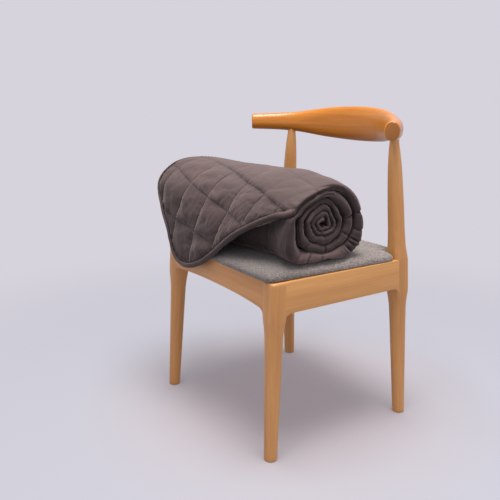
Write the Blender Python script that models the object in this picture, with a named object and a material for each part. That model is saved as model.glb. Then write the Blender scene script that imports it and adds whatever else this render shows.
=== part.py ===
"""Rolled, quilted weighted blanket lying on a plain wooden dining chair.

Metres, +Z up.  The chair faces -Y, X runs across the seat and z = 0 is the
floor.  The blanket is folded in half along its length, wound into a roll that
lies across the seat, and its loose end falls forward over the seat's edge.
Everything hangs on one empty that puts the bottom centre of the whole object
on the origin.
"""
import math

import bmesh
import bpy
import numpy as np

# ----------------------------------------------------------------- sizes
GAP = 0.0003                 # between neighbouring pieces

# chair frame
SEAT_RAIL_TOP = 0.4009       # top of the four rails
SIDE_RAIL_H = 0.0695
BACK_RAIL_H = 0.060
FRONT_RAIL_END_H = 0.063     # the front rail is arched: deeper at its ends
FRONT_RAIL_MID_H = 0.0525
RAIL_T = 0.022
BLOCK = 0.0208               # half side of the square joint block of a leg
FRONT_LEG = (0.2120, -0.1774)
BACK_LEG = (0.2155, 0.1768)
FRONT_FOOT = (0.2278, -0.1976)
BACK_FOOT = (0.2269, 0.2000)
POST_TOP = (0.1937, 0.1701, 0.6700)
POST_TOP_HALF = 0.0106
LEG_SIDES = 24

# backrest
REST_HALF_SPAN = 0.2658      # to the centre of each end
REST_END_Y = 0.0857
REST_Z = 0.7025
REST_END_HALF_H = 0.0205
REST_POST_HALF_H = 0.0250
REST_MID_HALF_H = 0.0435
REST_END_HALF_T = 0.0170
REST_MID_HALF_T = 0.0125
REST_MID_Y = 0.2400

# seat pad
PAD_TOP = 0.4265
PAD_EDGE_Z = 0.4085
PAD_FRONT_Y = -0.2030
PAD_BACK_Y = 0.1880
PAD_FRONT_HALF = 0.2250
# plan of the notch round the right back post, x and y
PAD_NOTCH = ((0.2345, 0.1330), (0.2335, 0.1420), (0.2290, 0.1490), (0.2200, 0.1525),
             (0.2050, 0.1535), (0.1965, 0.1550), (0.1925, 0.1600), (0.1915, 0.1690))

# blanket
CLOTH_T = 0.0110             # one quilted thickness
BINDING_W = 0.0105
ROLL_RIGHT = 0.2240
ROLL_LEFT = -0.2770
ROLL_BOTTOM = PAD_TOP + GAP
ROLL_CENTRE_Z = 0.5160
FLAP_START = -0.030          # arc length behind the ridge where the flap starts
RIDGE_Y = -0.0300

# one row a section of the loose end, from its right end to its left edge:
# x, height of the ridge, and how far forward (y) the outer face is at five
# depths below the ridge
DEPTHS = (0.012, 0.047, 0.112, 0.172, 0.232)
FLAP_SECTIONS = (
    # x,      ridge z, y at each depth
    (0.2240, 0.5925, (-0.0850, -0.1400, -0.1640, -0.1700, -0.1740)),
    (0.1950, 0.6015, (-0.0930, -0.1440, -0.1700, -0.1780, -0.1840)),
    (0.1500, 0.6085, (-0.0960, -0.1430, -0.1800, -0.1950, -0.2010)),
    (0.1000, 0.6140, (-0.0980, -0.1440, -0.1870, -0.2050, -0.2120)),
    (0.0300, 0.6110, (-0.1080, -0.1530, -0.1910, -0.2085, -0.2170)),
    (-0.0600, 0.6105, (-0.1230, -0.1710, -0.2040, -0.2165, -0.2250)),
    (-0.1500, 0.6080, (-0.1440, -0.1910, -0.2170, -0.2245, -0.2300)),
    (-0.2200, 0.6085, (-0.1610, -0.2020, -0.2225, -0.2270, -0.2295)),
    (-0.2770, 0.6090, (-0.1680, -0.2060, -0.2220, -0.2250, -0.2260)),
)

# outline of the loose end on the unrolled sheet: x and arc length down from
# the ridge; the hem, the round corner, then the left edge going up
FLAP_OUTLINE = (
    # x,      arc
    (0.2240, 0.1255), (0.2060, 0.1455), (0.1810, 0.1610), (0.1560, 0.1775),
    (0.1100, 0.2155), (0.0560, 0.2560), (0.0080, 0.3020), (-0.0360, 0.3380),
    (-0.0690, 0.3565), (-0.0990, 0.3670), (-0.1275, 0.3695), (-0.1510, 0.3640),
    (-0.1670, 0.3510), (-0.1815, 0.3300), (-0.1960, 0.3050), (-0.2160, 0.2800),
    (-0.2320, 0.2580), (-0.2550, 0.2290), (-0.2680, 0.2040), (-0.2755, 0.1760),
    (-0.2765, 0.1400), (-0.2760, 0.0900),
)

# the roll's section: x, front and back of the outermost turn
ROLL_SECTIONS = (
    # x,      front y, back y
    (0.2240, -0.1580, 0.0650), (0.1900, -0.1500, 0.0670), (0.1500, -0.1400, 0.0670),
    (0.1000, -0.1380, 0.0650), (0.0500, -0.1460, 0.0640), (-0.0500, -0.1620, 0.0630),
    (-0.1500, -0.1840, 0.0630), (-0.2200, -0.1960, 0.0620), (-0.2770, -0.2010, 0.0580),
)

WOOD = (0.527, 0.266, 0.102)
BACK_WOOD = (0.462, 0.161, 0.029)
CLOTH = (0.147, 0.105, 0.098)
PAD_CLOTH = (0.352, 0.323, 0.305)

for old in list(bpy.data.objects):
    bpy.data.objects.remove(old, do_unlink=True)

ROOT = bpy.data.objects.new("placement", None)
bpy.context.scene.collection.objects.link(ROOT)
PIECES = []


# ----------------------------------------------------------------- helpers
def material(name, colour, rough):
    mat = bpy.data.materials.new(name)
    mat.use_nodes = True
    bsdf = mat.node_tree.nodes["Principled BSDF"]
    bsdf.inputs["Base Color"].default_value = (*colour, 1.0)
    bsdf.inputs["Roughness"].default_value = rough
    bsdf.inputs["Metallic"].default_value = 0.0
    return mat


def add_piece(name, verts, faces, colour, rough):
    mesh = bpy.data.meshes.new(name)
    mesh.from_pydata([tuple(float(c) for c in v) for v in verts], [], faces)
    bm = bmesh.new()
    bm.from_mesh(mesh)
    bmesh.ops.recalc_face_normals(bm, faces=bm.faces)
    if bm.calc_volume(signed=True) < 0:
        bmesh.ops.reverse_faces(bm, faces=bm.faces)
    bm.to_mesh(mesh)
    bm.free()
    mesh.materials.append(material("mat_" + name, colour, rough))
    mesh.shade_smooth()
    mesh.set_sharp_from_angle(angle=math.radians(40))
    obj = bpy.data.objects.new(name, mesh)
    bpy.context.scene.collection.objects.link(obj)
    obj.parent = ROOT
    PIECES.append(obj)
    return obj


def loft(rings):
    """Closed body through rings of equal length, with a flat cap at each end."""
    n = len(rings[0])
    verts = [v for ring in rings for v in ring]
    faces = []
    for k in range(len(rings) - 1):
        for i in range(n):
            j = (i + 1) % n
            faces.append((k * n + i, k * n + j, (k + 1) * n + j, (k + 1) * n + i))
    faces.append(tuple(reversed(range(n))))
    last = (len(rings) - 1) * n
    faces.append(tuple(last + i for i in range(n)))
    return verts, faces


def curve(xs, ys, x):
    """Monotone-friendly cubic through a table's column; xs may run either way."""
    xs = np.asarray(xs, float)
    ys = np.asarray(ys, float)
    if xs[0] > xs[-1]:
        xs, ys = xs[::-1], ys[::-1]
    slope = np.gradient(ys, xs, axis=0)
    x = np.clip(x, xs[0], xs[-1])
    k = int(min(max(np.searchsorted(xs, x) - 1, 0), len(xs) - 2))
    h = xs[k + 1] - xs[k]
    t = (x - xs[k]) / h
    return ((2 * t**3 - 3 * t**2 + 1) * ys[k] + (t**3 - 2 * t**2 + t) * h * slope[k]
            + (3 * t**2 - 2 * t**3) * ys[k + 1] + (t**3 - t**2) * h * slope[k + 1])


def smoothstep(lo, hi, v):
    t = min(max((v - lo) / (hi - lo), 0.0), 1.0)
    return t * t * (3 - 2 * t)


def squircle(cx, cy, half, power, sides, z):
    """A ring from a circle (power 2) to a rounded square (power 6)."""
    ring = []
    for i in range(sides):
        a = 2 * math.pi * (i + 0.5) / sides
        c, s = math.cos(a), math.sin(a)
        r = half / (abs(c)**power + abs(s)**power)**(1.0 / power)
        ring.append((cx + r * c, cy + r * s, z))
    return ring


# ----------------------------------------------------------------- backrest
REST_FLAT_H = 0.92           # how square the section is, 1 is an ellipse
REST_FLAT_T = 0.85


def rest_centre(u):
    """Centre line of the bent backrest, u from -1 (left end) to 1."""
    a = abs(u)
    # x and y against the share of the half length
    share = (-0.25, 0.0, 0.25, 0.5, 0.70, 0.85, 1.0)
    xs = (-0.0760, 0.0, 0.0760, 0.1430, 0.1937, 0.2310, REST_HALF_SPAN)
    ys = (0.2315, REST_MID_Y, 0.2315, 0.2035, 0.1690, 0.1330, REST_END_Y)
    x = float(curve(share, xs, a))
    y = float(curve(share, ys, a))
    return math.copysign(x, u) if u else 0.0, y


def rest_section(u):
    """Unit normal, half height and half thickness of the backrest at u."""
    ax, ay = rest_centre(min(u + 0.02, 1.0))
    bx, by = rest_centre(max(u - 0.02, -1.0))
    tx, ty = ax - bx, ay - by
    length = math.hypot(tx, ty)
    a = abs(u)
    half_h = float(curve((-0.35, 0.0, 0.35, 0.70, 1.0),
                         (0.0385, REST_MID_HALF_H, 0.0385, REST_POST_HALF_H, REST_END_HALF_H), a))
    half_t = REST_MID_HALF_T + (REST_END_HALF_T - REST_MID_HALF_T) * smoothstep(0.35, 1.0, a)
    return (-ty / length, tx / length), half_h, half_t


def rest_underside(x, y):
    """Height of the backrest's underside over a point of the plan."""
    best = None
    for k in range(121):
        u = math.copysign(0.45 + 0.45 * k / 120, x)
        cx, cy = rest_centre(u)
        d = math.hypot(x - cx, y - cy)
        if best is None or d < best[0]:
            best = (d, u)
    _, half_h, half_t = rest_section(best[1])
    c = min(best[0] / half_t, 0.98)**(1 / REST_FLAT_T)
    return REST_Z - half_h * math.sqrt(1 - c * c)**REST_FLAT_H


def backrest():
    steps, sides = 44, 24
    rings = []
    for k in range(steps + 1):
        u = -1 + 2 * k / steps
        cx, cy = rest_centre(u)
        (nx, ny), half_h, half_t = rest_section(u)
        ring = []
        for i in range(sides):
            p = 2 * math.pi * i / sides
            c, s = math.cos(p), math.sin(p)
            w = half_t * math.copysign(abs(c)**REST_FLAT_T, c)
            h = half_h * math.copysign(abs(s)**REST_FLAT_H, s)
            ring.append((cx + nx * w, cy + ny * w, REST_Z + h))
        rings.append(ring)
    return add_piece("backrest", *loft(rings), BACK_WOOD, 0.30)


backrest()


# ----------------------------------------------------------------- legs
def leg_axis(top, foot, side, z):
    """Plan position of a leg's axis at height z, foot to rail top."""
    t = z / SEAT_RAIL_TOP
    return side * (foot[0] + (top[0] - foot[0]) * t), foot[1] + (top[1] - foot[1]) * t


def front_leg(name, side):
    block_z = SEAT_RAIL_TOP - SIDE_RAIL_H - 0.012
    stations = (
        # z, half width, power
        (0.000, 0.0145, 2.0), (0.080, 0.0160, 2.0), (0.170, 0.0177, 2.0),
        (0.240, 0.0190, 2.0), (0.290, 0.0198, 2.2), (block_z, BLOCK, 4.5),
        (block_z + 0.012, BLOCK, 6.0), (SEAT_RAIL_TOP - 0.003, BLOCK, 6.0),
        (SEAT_RAIL_TOP, BLOCK - 0.0025, 6.0),
    )
    rings = []
    for z, half, power in stations:
        rings.append(squircle(*leg_axis(FRONT_LEG, FRONT_FOOT, side, z),
                              half, power, LEG_SIDES, z))
    return add_piece(name, *loft(rings), WOOD, 0.42)


def back_leg(name, side):
    top_x, top_y = BACK_LEG
    post_x, post_y, post_z = POST_TOP
    block_z = SEAT_RAIL_TOP - SIDE_RAIL_H - 0.012
    low = ((0.000, 0.0145, 2.0), (0.080, 0.0160, 2.0), (0.170, 0.0177, 2.0),
           (0.240, 0.0190, 2.0), (0.290, 0.0198, 2.2), (block_z, BLOCK, 4.5),
           (block_z + 0.012, BLOCK, 6.0), (SEAT_RAIL_TOP, BLOCK, 6.0))
    high = ((0.430, 0.0196, 2.6), (0.470, 0.0195, 2.0), (0.520, 0.0190, 2.0),
            (0.570, 0.0178, 2.0), (0.620, 0.0157, 2.0), (0.655, 0.0128, 2.0),
            (post_z, 0.0112, 2.0))
    rings = []
    for z, half, power in low:
        rings.append(squircle(*leg_axis(BACK_LEG, BACK_FOOT, side, z),
                              half, power, LEG_SIDES, z))
    for z, half, power in high:
        t = (z - SEAT_RAIL_TOP) / (post_z - SEAT_RAIL_TOP)
        rings.append(squircle(side * (top_x + (post_x - top_x) * t),
                              top_y + (post_y - top_y) * t, half, power, LEG_SIDES, z))
    # the top is hollowed to sit against the backrest
    cx, cy = side * post_x, post_y
    for k in range(8):
        half = POST_TOP_HALF * (1 - k / 8)
        ring = squircle(cx, cy, half, 2.0, LEG_SIDES, 0.0)
        rings.append([(x, y, rest_underside(x, y) - GAP - 0.0002) for x, y, _ in ring])
    return add_piece(name, *loft(rings), WOOD, 0.42)


front_leg("leg_front_right", 1)
front_leg("leg_front_left", -1)
back_leg("leg_back_right", 1)
back_leg("leg_back_left", -1)


# ----------------------------------------------------------------- rails
def rail(name, start, end, along, outward, end_h, mid_h, steps):
    """A rail between two leg blocks, its lower edge an arch from end to end.

    start and end give a leg's plan position at a height; along and outward are
    unit directions in the plan."""
    top, soft = SEAT_RAIL_TOP, 0.002
    rings = []
    for k in range(steps + 1):
        t = k / steps
        h = mid_h + (end_h - mid_h) * abs(2 * t - 1)**2.5
        ring = []
        for off, z in ((0, top - soft), (soft, top), (RAIL_T - soft, top), (RAIL_T, top - soft),
                       (RAIL_T, top - h + soft), (RAIL_T - soft, top - h),
                       (soft, top - h), (0, top - h + soft)):
            a, b = start(z), end(z)
            face = BLOCK - 0.0004 - off
            pa = [a[i] + along[i] * (BLOCK + GAP) + outward[i] * face for i in (0, 1)]
            pb = [b[i] - along[i] * (BLOCK + GAP) + outward[i] * face for i in (0, 1)]
            ring.append((pa[0] + (pb[0] - pa[0]) * t, pa[1] + (pb[1] - pa[1]) * t, z))
        rings.append(ring)
    return add_piece(name, *loft(rings), WOOD, 0.42)


def front_at(side):
    return lambda z: leg_axis(FRONT_LEG, FRONT_FOOT, side, z)


def back_at(side):
    return lambda z: leg_axis(BACK_LEG, BACK_FOOT, side, z)


rail("rail_front", front_at(-1), front_at(1), (1, 0), (0, -1),
     FRONT_RAIL_END_H, FRONT_RAIL_MID_H, 16)
rail("rail_back", back_at(-1), back_at(1), (1, 0), (0, 1), BACK_RAIL_H, BACK_RAIL_H, 2)
rail("rail_right", front_at(1), back_at(1), (0, 1), (1, 0), SIDE_RAIL_H, SIDE_RAIL_H, 2)
rail("rail_left", front_at(-1), back_at(-1), (0, 1), (-1, 0), SIDE_RAIL_H, SIDE_RAIL_H, 2)


# ----------------------------------------------------------------- seat pad
def pad_outline(inset, count=8):
    """Plan of the pad, drawn in by inset; its back corners clear the posts."""
    f, b = PAD_FRONT_Y + inset, PAD_BACK_Y - inset
    hf = PAD_FRONT_HALF - inset
    r = 0.018
    pts = []
    for sx, sy in ((1, -1), (-1, -1)):
        cx, cy = sx * (hf - r), f + r
        arc = []
        for i in range(count):
            a = math.pi / 2 * i / (count - 1)
            arc.append((cx + sx * r * math.sin(a), cy - r * math.cos(a)))
        pts.append(arc if sx > 0 else arc[::-1])
    right, left = pts
    clip_r = [(x - inset, y - inset) for x, y in PAD_NOTCH] + [(PAD_NOTCH[-1][0] - inset, b)]
    clip_l = [(-x, y) for x, y in reversed(clip_r)]
    # anticlockwise from the front right corner
    return right + clip_r + clip_l + left


def seat_pad():
    base = SEAT_RAIL_TOP + GAP
    layers = (
        # inset, z
        (0.0040, base), (0.0008, base + 0.0022), (0.0000, PAD_EDGE_Z),
        (0.0020, 0.4135), (0.0070, 0.4180), (0.0160, 0.4218),
        (0.0300, 0.4243), (0.0480, 0.4257), (0.0700, PAD_TOP),
    )
    rings = [[(x, y, z) for x, y in pad_outline(inset)] for inset, z in layers]
    return add_piece("seat_pad", *loft(rings), PAD_CLOTH, 0.9)


seat_pad()


# ----------------------------------------------------------------- blanket
def flap_profile(x):
    """Outer face of the loose end in the plane at x: points and arc lengths.

    Arc length 0 is on the ridge, it grows down the front and is negative over
    the back of the ridge."""
    xs = [row[0] for row in FLAP_SECTIONS]
    zr = float(curve(xs, [row[1] for row in FLAP_SECTIONS], x))
    ys = [float(curve(xs, [row[2][k] for row in FLAP_SECTIONS], x)) for k in range(len(DEPTHS))]
    knots = [(0.045, zr - 0.0320), (0.010, zr - 0.0095), (RIDGE_Y, zr)]
    knots += [(y, zr - d) for y, d in zip(ys, DEPTHS)]
    y0, z0 = knots[-2]
    y1, z1 = knots[-1]
    knots.append((2 * y1 - y0, 2 * z1 - z0))
    knots = np.array(knots)
    chord = np.concatenate(([0.0], np.cumsum(np.hypot(*np.diff(knots, axis=0).T))))
    fine = np.linspace(0, chord[-1], 161)
    pts = np.array([curve(chord, knots, s) for s in fine])
    arc = np.concatenate(([0.0], np.cumsum(np.hypot(*np.diff(pts, axis=0).T))))
    return pts, arc - np.interp(chord[2], fine, arc)


PROFILE_X = np.linspace(ROLL_LEFT - 0.004, ROLL_RIGHT + 0.004, 60)
PROFILES = [flap_profile(x) for x in PROFILE_X]


def flap_point(x, arc):
    """Outer face of the loose end at a place on the unrolled sheet."""
    f = (x - PROFILE_X[0]) / (PROFILE_X[1] - PROFILE_X[0])
    k = int(min(max(math.floor(f), 0), len(PROFILE_X) - 2))
    w = min(max(f - k, 0.0), 1.0)
    out = []
    for pts, s in (PROFILES[k], PROFILES[k + 1]):
        out.append(np.array([np.interp(arc, s, pts[:, 0]), np.interp(arc, s, pts[:, 1])]))
    y, z = out[0] * (1 - w) + out[1] * w
    return np.array([x, y, z])


def flap_normal(x, arc, step=0.003):
    ex = flap_point(x + step, arc) - flap_point(x - step, arc)
    es = flap_point(x, arc + step) - flap_point(x, arc - step)
    n = np.cross(es, ex)
    return n / np.linalg.norm(n)


def outline_curve(samples):
    """The loose end's hem and left edge as an even polyline on the sheet."""
    knots = np.array(FLAP_OUTLINE)
    chord = np.concatenate(([0.0], np.cumsum(np.hypot(*np.diff(knots, axis=0).T))))
    fine = np.array([curve(chord, knots, s) for s in np.linspace(0, chord[-1], 400)])
    arc = np.concatenate(([0.0], np.cumsum(np.hypot(*np.diff(fine, axis=0).T))))
    at = np.linspace(0, arc[-1], samples)
    return np.stack([np.interp(at, arc, fine[:, 0]), np.interp(at, arc, fine[:, 1])], 1)


def inset_outline(samples, inset):
    """The outline moved into the sheet by inset, its right end kept at the end."""
    line = outline_curve(samples)
    tan = np.gradient(line, axis=0)
    tan /= np.linalg.norm(tan, axis=1)[:, None]
    inward = np.stack([tan[:, 1], -tan[:, 0]], 1)   # up the sheet from the hem
    centre = np.array([-0.05, 0.12])
    if np.sum((centre - line[len(line) // 3]) * inward[len(line) // 3]) < 0:
        inward = -inward
    moved = line + inward * inset
    moved[:, 0] = np.minimum(moved[:, 0], ROLL_RIGHT)
    # first point slides along the right end instead of leaving it
    moved[0] = (ROLL_RIGHT, line[0][1] - inset / max(-inward[0][1], 0.3))
    return moved


def thick_sheet(grid, thick):
    """A closed solid from rows of (x, arc) places and a thickness inward."""
    rows, cols = len(grid), len(grid[0])
    outer, inner = [], []
    for row in grid:
        for x, s in row:
            p = flap_point(x, s)
            n = flap_normal(min(max(x, ROLL_LEFT + 0.001), ROLL_RIGHT - 0.001), s)
            q = p - n * thick
            q[0] = min(max(q[0], ROLL_LEFT), ROLL_RIGHT)
            outer.append(p)
            inner.append(q)
    verts = outer + inner
    off = rows * cols
    faces = []

    def quad(a, b, c, d):
        faces.append((a, b, c, d))

    for i in range(rows - 1):
        for j in range(cols - 1):
            a, b = i * cols + j, i * cols + j + 1
            c, d = (i + 1) * cols + j + 1, (i + 1) * cols + j
            quad(a, b, c, d)
            quad(off + d, off + c, off + b, off + a)
    for i in range(rows - 1):
        for j in (0, cols - 1):
            a, b = i * cols + j, (i + 1) * cols + j
            quad(a, b, off + b, off + a)
    for j in range(cols - 1):
        for i in (0, rows - 1):
            a, b = i * cols + j, i * cols + j + 1
            quad(b, a, off + a, off + b)
    return verts, faces


def triangulated(verts, faces):
    tris = []
    for f in faces:
        if len(f) == 4:
            tris += [(f[0], f[1], f[2]), (f[0], f[2], f[3])]
        else:
            tris.append(f)
    return verts, tris


FLAP_COLS, FLAP_ROWS = 48, 26
LID_GAP = 0.0022             # between the loose end and the roll under it


def blanket_flap():
    edge = inset_outline(FLAP_COLS, BINDING_W + 2 * GAP)
    left_x = edge[-1][0]
    grid = []
    for j in range(FLAP_ROWS):
        t = j / (FLAP_ROWS - 1)
        row = []
        for k in range(FLAP_COLS):
            share = k / (FLAP_COLS - 1)
            top = (ROLL_RIGHT + (left_x - ROLL_RIGHT) * share, FLAP_START)
            row.append((top[0] + (edge[k][0] - top[0]) * t, top[1] + (edge[k][1] - top[1]) * t))
        grid.append(row)
    return add_piece("blanket_flap", *triangulated(*thick_sheet(grid, CLOTH_T)), CLOTH, 0.8)


def flap_binding():
    outer = inset_outline(FLAP_COLS, 0.0)
    inner = inset_outline(FLAP_COLS, BINDING_W)
    steps = 14
    top_out = [(outer[-1][0], outer[-1][1] + (FLAP_START - outer[-1][1]) * (k + 1) / steps)
               for k in range(steps)]
    top_in = [(inner[-1][0], inner[-1][1] + (FLAP_START - inner[-1][1]) * (k + 1) / steps)
              for k in range(steps)]
    out_line = [tuple(p) for p in outer] + top_out
    in_line = [tuple(p) for p in inner] + top_in
    grid = [out_line, [((a[0] + b[0]) / 2, (a[1] + b[1]) / 2) for a, b in zip(out_line, in_line)],
            in_line]
    return add_piece("flap_binding", *triangulated(*thick_sheet(grid, CLOTH_T - 0.0015)), CLOTH, 0.75)


def quarter(cy, cz, half_w, half_h, power, start_deg, count=24):
    """A quarter of a superellipse, anticlockwise seen from the right end."""
    pts = []
    for k in range(count):
        a = math.radians(start_deg + 90 * k / (count - 1))
        c, s = math.cos(a), math.sin(a)
        pts.append((cy + half_w * math.copysign(abs(c)**(2 / power), c),
                    cz + half_h * math.copysign(abs(s)**(2 / power), s)))
    return pts


def roll_outline(x):
    """Outline of the wound roll at x, as points round from the step behind the
    ridge, down the back, along the bottom, up the front and under the loose end."""
    sx = [row[0] for row in ROLL_SECTIONS]
    front = float(curve(sx, [row[1] for row in ROLL_SECTIONS], x))
    back = float(curve(sx, [row[2] for row in ROLL_SECTIONS], x))
    pts, arc = flap_profile(x)
    step = np.array([np.interp(FLAP_START - 0.0026, arc, pts[:, 0]),
                     np.interp(FLAP_START - 0.0026, arc, pts[:, 1])])
    down = ROLL_CENTRE_Z - ROLL_BOTTOM + 0.003
    cy = (front + back) / 2
    # the loose end's inner face, seen as the lid over the front of the roll
    lid = []
    for s in np.linspace(FLAP_START - 0.0026, 0.36, 60):
        px = x
        for _ in range(2):
            n = flap_normal(px, s)
            px = x + n[0] * (CLOTH_T + LID_GAP)
        q = flap_point(px, s) - n * (CLOTH_T + LID_GAP)
        lid.append((q[1], q[2]))
    lid = np.array(lid)
    ang = np.arctan2(lid[:, 1] - ROLL_CENTRE_Z, lid[:, 0] - cy)
    rad = np.hypot(lid[:, 1] - ROLL_CENTRE_Z, lid[:, 0] - cy)
    ang = np.where(ang < -math.pi / 2, ang + 2 * math.pi, ang)
    order = np.argsort(ang)
    outer = quarter(step[0], ROLL_CENTRE_Z, back - step[0], step[1] - ROLL_CENTRE_Z, 2.15, 0)[::-1]
    outer += quarter(cy, ROLL_CENTRE_Z, back - cy, down, 2.5, 270)[::-1][1:]
    outer += quarter(cy, ROLL_CENTRE_Z, cy - front, down, 2.5, 180)[::-1][1:]
    up = quarter(cy, ROLL_CENTRE_Z, cy - front, float(pts[:, 1].max()) - ROLL_CENTRE_Z, 2.3, 90, 40)
    for y, z in up[::-1][1:]:
        a = math.atan2(z - ROLL_CENTRE_Z, y - cy)
        a = a + 2 * math.pi if a < -math.pi / 2 else a
        r = min(math.hypot(y - cy, z - ROLL_CENTRE_Z), float(np.interp(a, ang[order], rad[order])))
        outer.append((cy + r * math.cos(a), ROLL_CENTRE_Z + r * math.sin(a)))
    tail = [tuple(p) for p in lid[::-1] if p[0] > outer[-1][0] + 0.002]
    return np.array(outer + tail), float(step[0]) + 0.004


def resample(line, count):
    arc = np.concatenate(([0.0], np.cumsum(np.hypot(*np.diff(line, axis=0).T))))
    at = np.linspace(0, arc[-1], count)
    return np.stack([np.interp(at, arc, line[:, 0]), np.interp(at, arc, line[:, 1])], 1)


def blanket_roll():
    around = 80
    soft = 0.014                      # the folded edges are rounded over this
    xs = [ROLL_LEFT, ROLL_LEFT + 0.002, ROLL_LEFT + 0.007, ROLL_LEFT + 0.015]
    xs += list(np.linspace(ROLL_LEFT + 0.035, ROLL_RIGHT - 0.035, 14))
    xs += [ROLL_RIGHT - 0.015, ROLL_RIGHT - 0.007, ROLL_RIGHT - 0.002, ROLL_RIGHT]
    rings = []
    for x in xs:
        line, cy = roll_outline(x)
        line = resample(line, around)
        t = min(min(x - ROLL_LEFT, ROLL_RIGHT - x) / soft, 1.0)
        shrink = soft * 0.7 * (1 - math.sqrt(max(1 - (1 - t)**2, 0.0)))
        off = line - np.array([cy, ROLL_CENTRE_Z])
        far = np.hypot(*off.T)[:, None]
        line = np.array([cy, ROLL_CENTRE_Z]) + off * (1 - shrink / far)
        line[:, 1] = np.maximum(line[:, 1], ROLL_BOTTOM)
        rings.append([(x, y, z) for y, z in line])
    return add_piece("blanket_roll", *triangulated(*loft(rings)), CLOTH, 0.8)


blanket_roll()
blanket_flap()
flap_binding()

# ----------------------------------------------------------------- placement
bpy.context.view_layer.update()
low = np.array([1e9] * 3)
high = -low
for piece in PIECES:
    for vert in piece.data.vertices:
        co = np.array(piece.matrix_world @ vert.co)
        low, high = np.minimum(low, co), np.maximum(high, co)
ROOT.location = (-(low[0] + high[0]) / 2, -(low[1] + high[1]) / 2, -low[2])
bpy.context.view_layer.update()
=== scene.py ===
"""Looks for a rolled, quilted weighted blanket on a plain wooden dining chair.

The shapes are written in the chair's own frame (origin on the floor between the
feet, front towards -Y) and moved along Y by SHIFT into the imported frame.
"""
import math

import bmesh
import bpy
import numpy as np
from mathutils import Matrix, Vector


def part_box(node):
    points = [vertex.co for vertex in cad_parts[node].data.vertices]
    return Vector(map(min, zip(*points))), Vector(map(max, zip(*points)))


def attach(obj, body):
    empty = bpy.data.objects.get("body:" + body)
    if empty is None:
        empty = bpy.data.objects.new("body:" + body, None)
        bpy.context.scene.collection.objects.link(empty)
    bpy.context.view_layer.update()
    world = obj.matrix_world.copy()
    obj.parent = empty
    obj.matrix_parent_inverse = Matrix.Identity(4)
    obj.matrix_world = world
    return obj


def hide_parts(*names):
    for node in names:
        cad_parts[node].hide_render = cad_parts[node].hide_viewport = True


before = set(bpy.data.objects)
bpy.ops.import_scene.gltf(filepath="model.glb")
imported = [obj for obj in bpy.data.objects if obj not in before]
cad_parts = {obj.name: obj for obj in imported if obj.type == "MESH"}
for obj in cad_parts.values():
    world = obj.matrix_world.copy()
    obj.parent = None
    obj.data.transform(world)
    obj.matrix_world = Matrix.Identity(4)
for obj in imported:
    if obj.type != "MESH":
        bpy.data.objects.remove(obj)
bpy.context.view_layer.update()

# the pad's front edge is at y = -0.2030 in the chair's own frame
SHIFT = float(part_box("seat_pad")[0][1]) + 0.2030
SHIFT_V = np.array([0.0, SHIFT, 0.0])

# ----------------------------------------------------------------- chair sizes
SEAT_RAIL_TOP = 0.4009
SIDE_RAIL_H = 0.0695
BACK_RAIL_H = 0.060
FRONT_RAIL_END_H = 0.063
FRONT_RAIL_MID_H = 0.0525
RAIL_T = 0.022
BLOCK = 0.0208
FRONT_LEG, FRONT_FOOT = (0.2120, -0.1774), (0.2278, -0.1976)
BACK_LEG, BACK_FOOT = (0.2155, 0.1768), (0.2269, 0.2000)
POST_TOP = (0.1937, 0.1701, 0.6700)
REST_HALF_SPAN, REST_END_Y, REST_Z, REST_MID_Y = 0.2658, 0.0857, 0.7025, 0.2400
REST_END_HALF_H, REST_POST_HALF_H, REST_MID_HALF_H = 0.0205, 0.0250, 0.0435
REST_END_HALF_T, REST_MID_HALF_T = 0.0170, 0.0125
REST_FLAT_H, REST_FLAT_T = 0.92, 0.85
PAD_TOP, PAD_EDGE_Z = 0.4265, 0.4085
PAD_FRONT_Y, PAD_BACK_Y, PAD_FRONT_HALF = -0.2030, 0.1880, 0.2250
PAD_NOTCH = ((0.2345, 0.1330), (0.2335, 0.1420), (0.2290, 0.1490), (0.2200, 0.1525),
             (0.2050, 0.1535), (0.1965, 0.1550), (0.1925, 0.1600), (0.1915, 0.1690))

# ----------------------------------------------------------------- blanket sizes
FLAP_T = 0.0110
ROLL_RIGHT, ROLL_LEFT = 0.2240, -0.2770
ROLL_BOTTOM = PAD_TOP + 0.0002
RIDGE_Y = -0.0300
JOIN = -0.030                    # arc behind the ridge where the winding starts
CENTRE_Z = 0.5050
DEPTHS = (0.012, 0.047, 0.112, 0.172, 0.232)
FLAP_SECTIONS = (
    # x, ridge z, y at each depth
    (0.2240, 0.5925, (-0.0850, -0.1400, -0.1640, -0.1700, -0.1740)),
    (0.1950, 0.6015, (-0.0930, -0.1440, -0.1700, -0.1780, -0.1840)),
    (0.1500, 0.6085, (-0.0960, -0.1430, -0.1800, -0.1950, -0.2010)),
    (0.1000, 0.6140, (-0.0980, -0.1440, -0.1870, -0.2050, -0.2120)),
    (0.0300, 0.6110, (-0.1080, -0.1530, -0.1910, -0.2085, -0.2170)),
    (-0.0600, 0.6105, (-0.1230, -0.1710, -0.2040, -0.2165, -0.2250)),
    (-0.1500, 0.6080, (-0.1440, -0.1910, -0.2170, -0.2245, -0.2300)),
    (-0.2200, 0.6085, (-0.1610, -0.2020, -0.2225, -0.2270, -0.2295)),
    (-0.2770, 0.6090, (-0.1680, -0.2060, -0.2220, -0.2250, -0.2260)),
)
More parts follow.
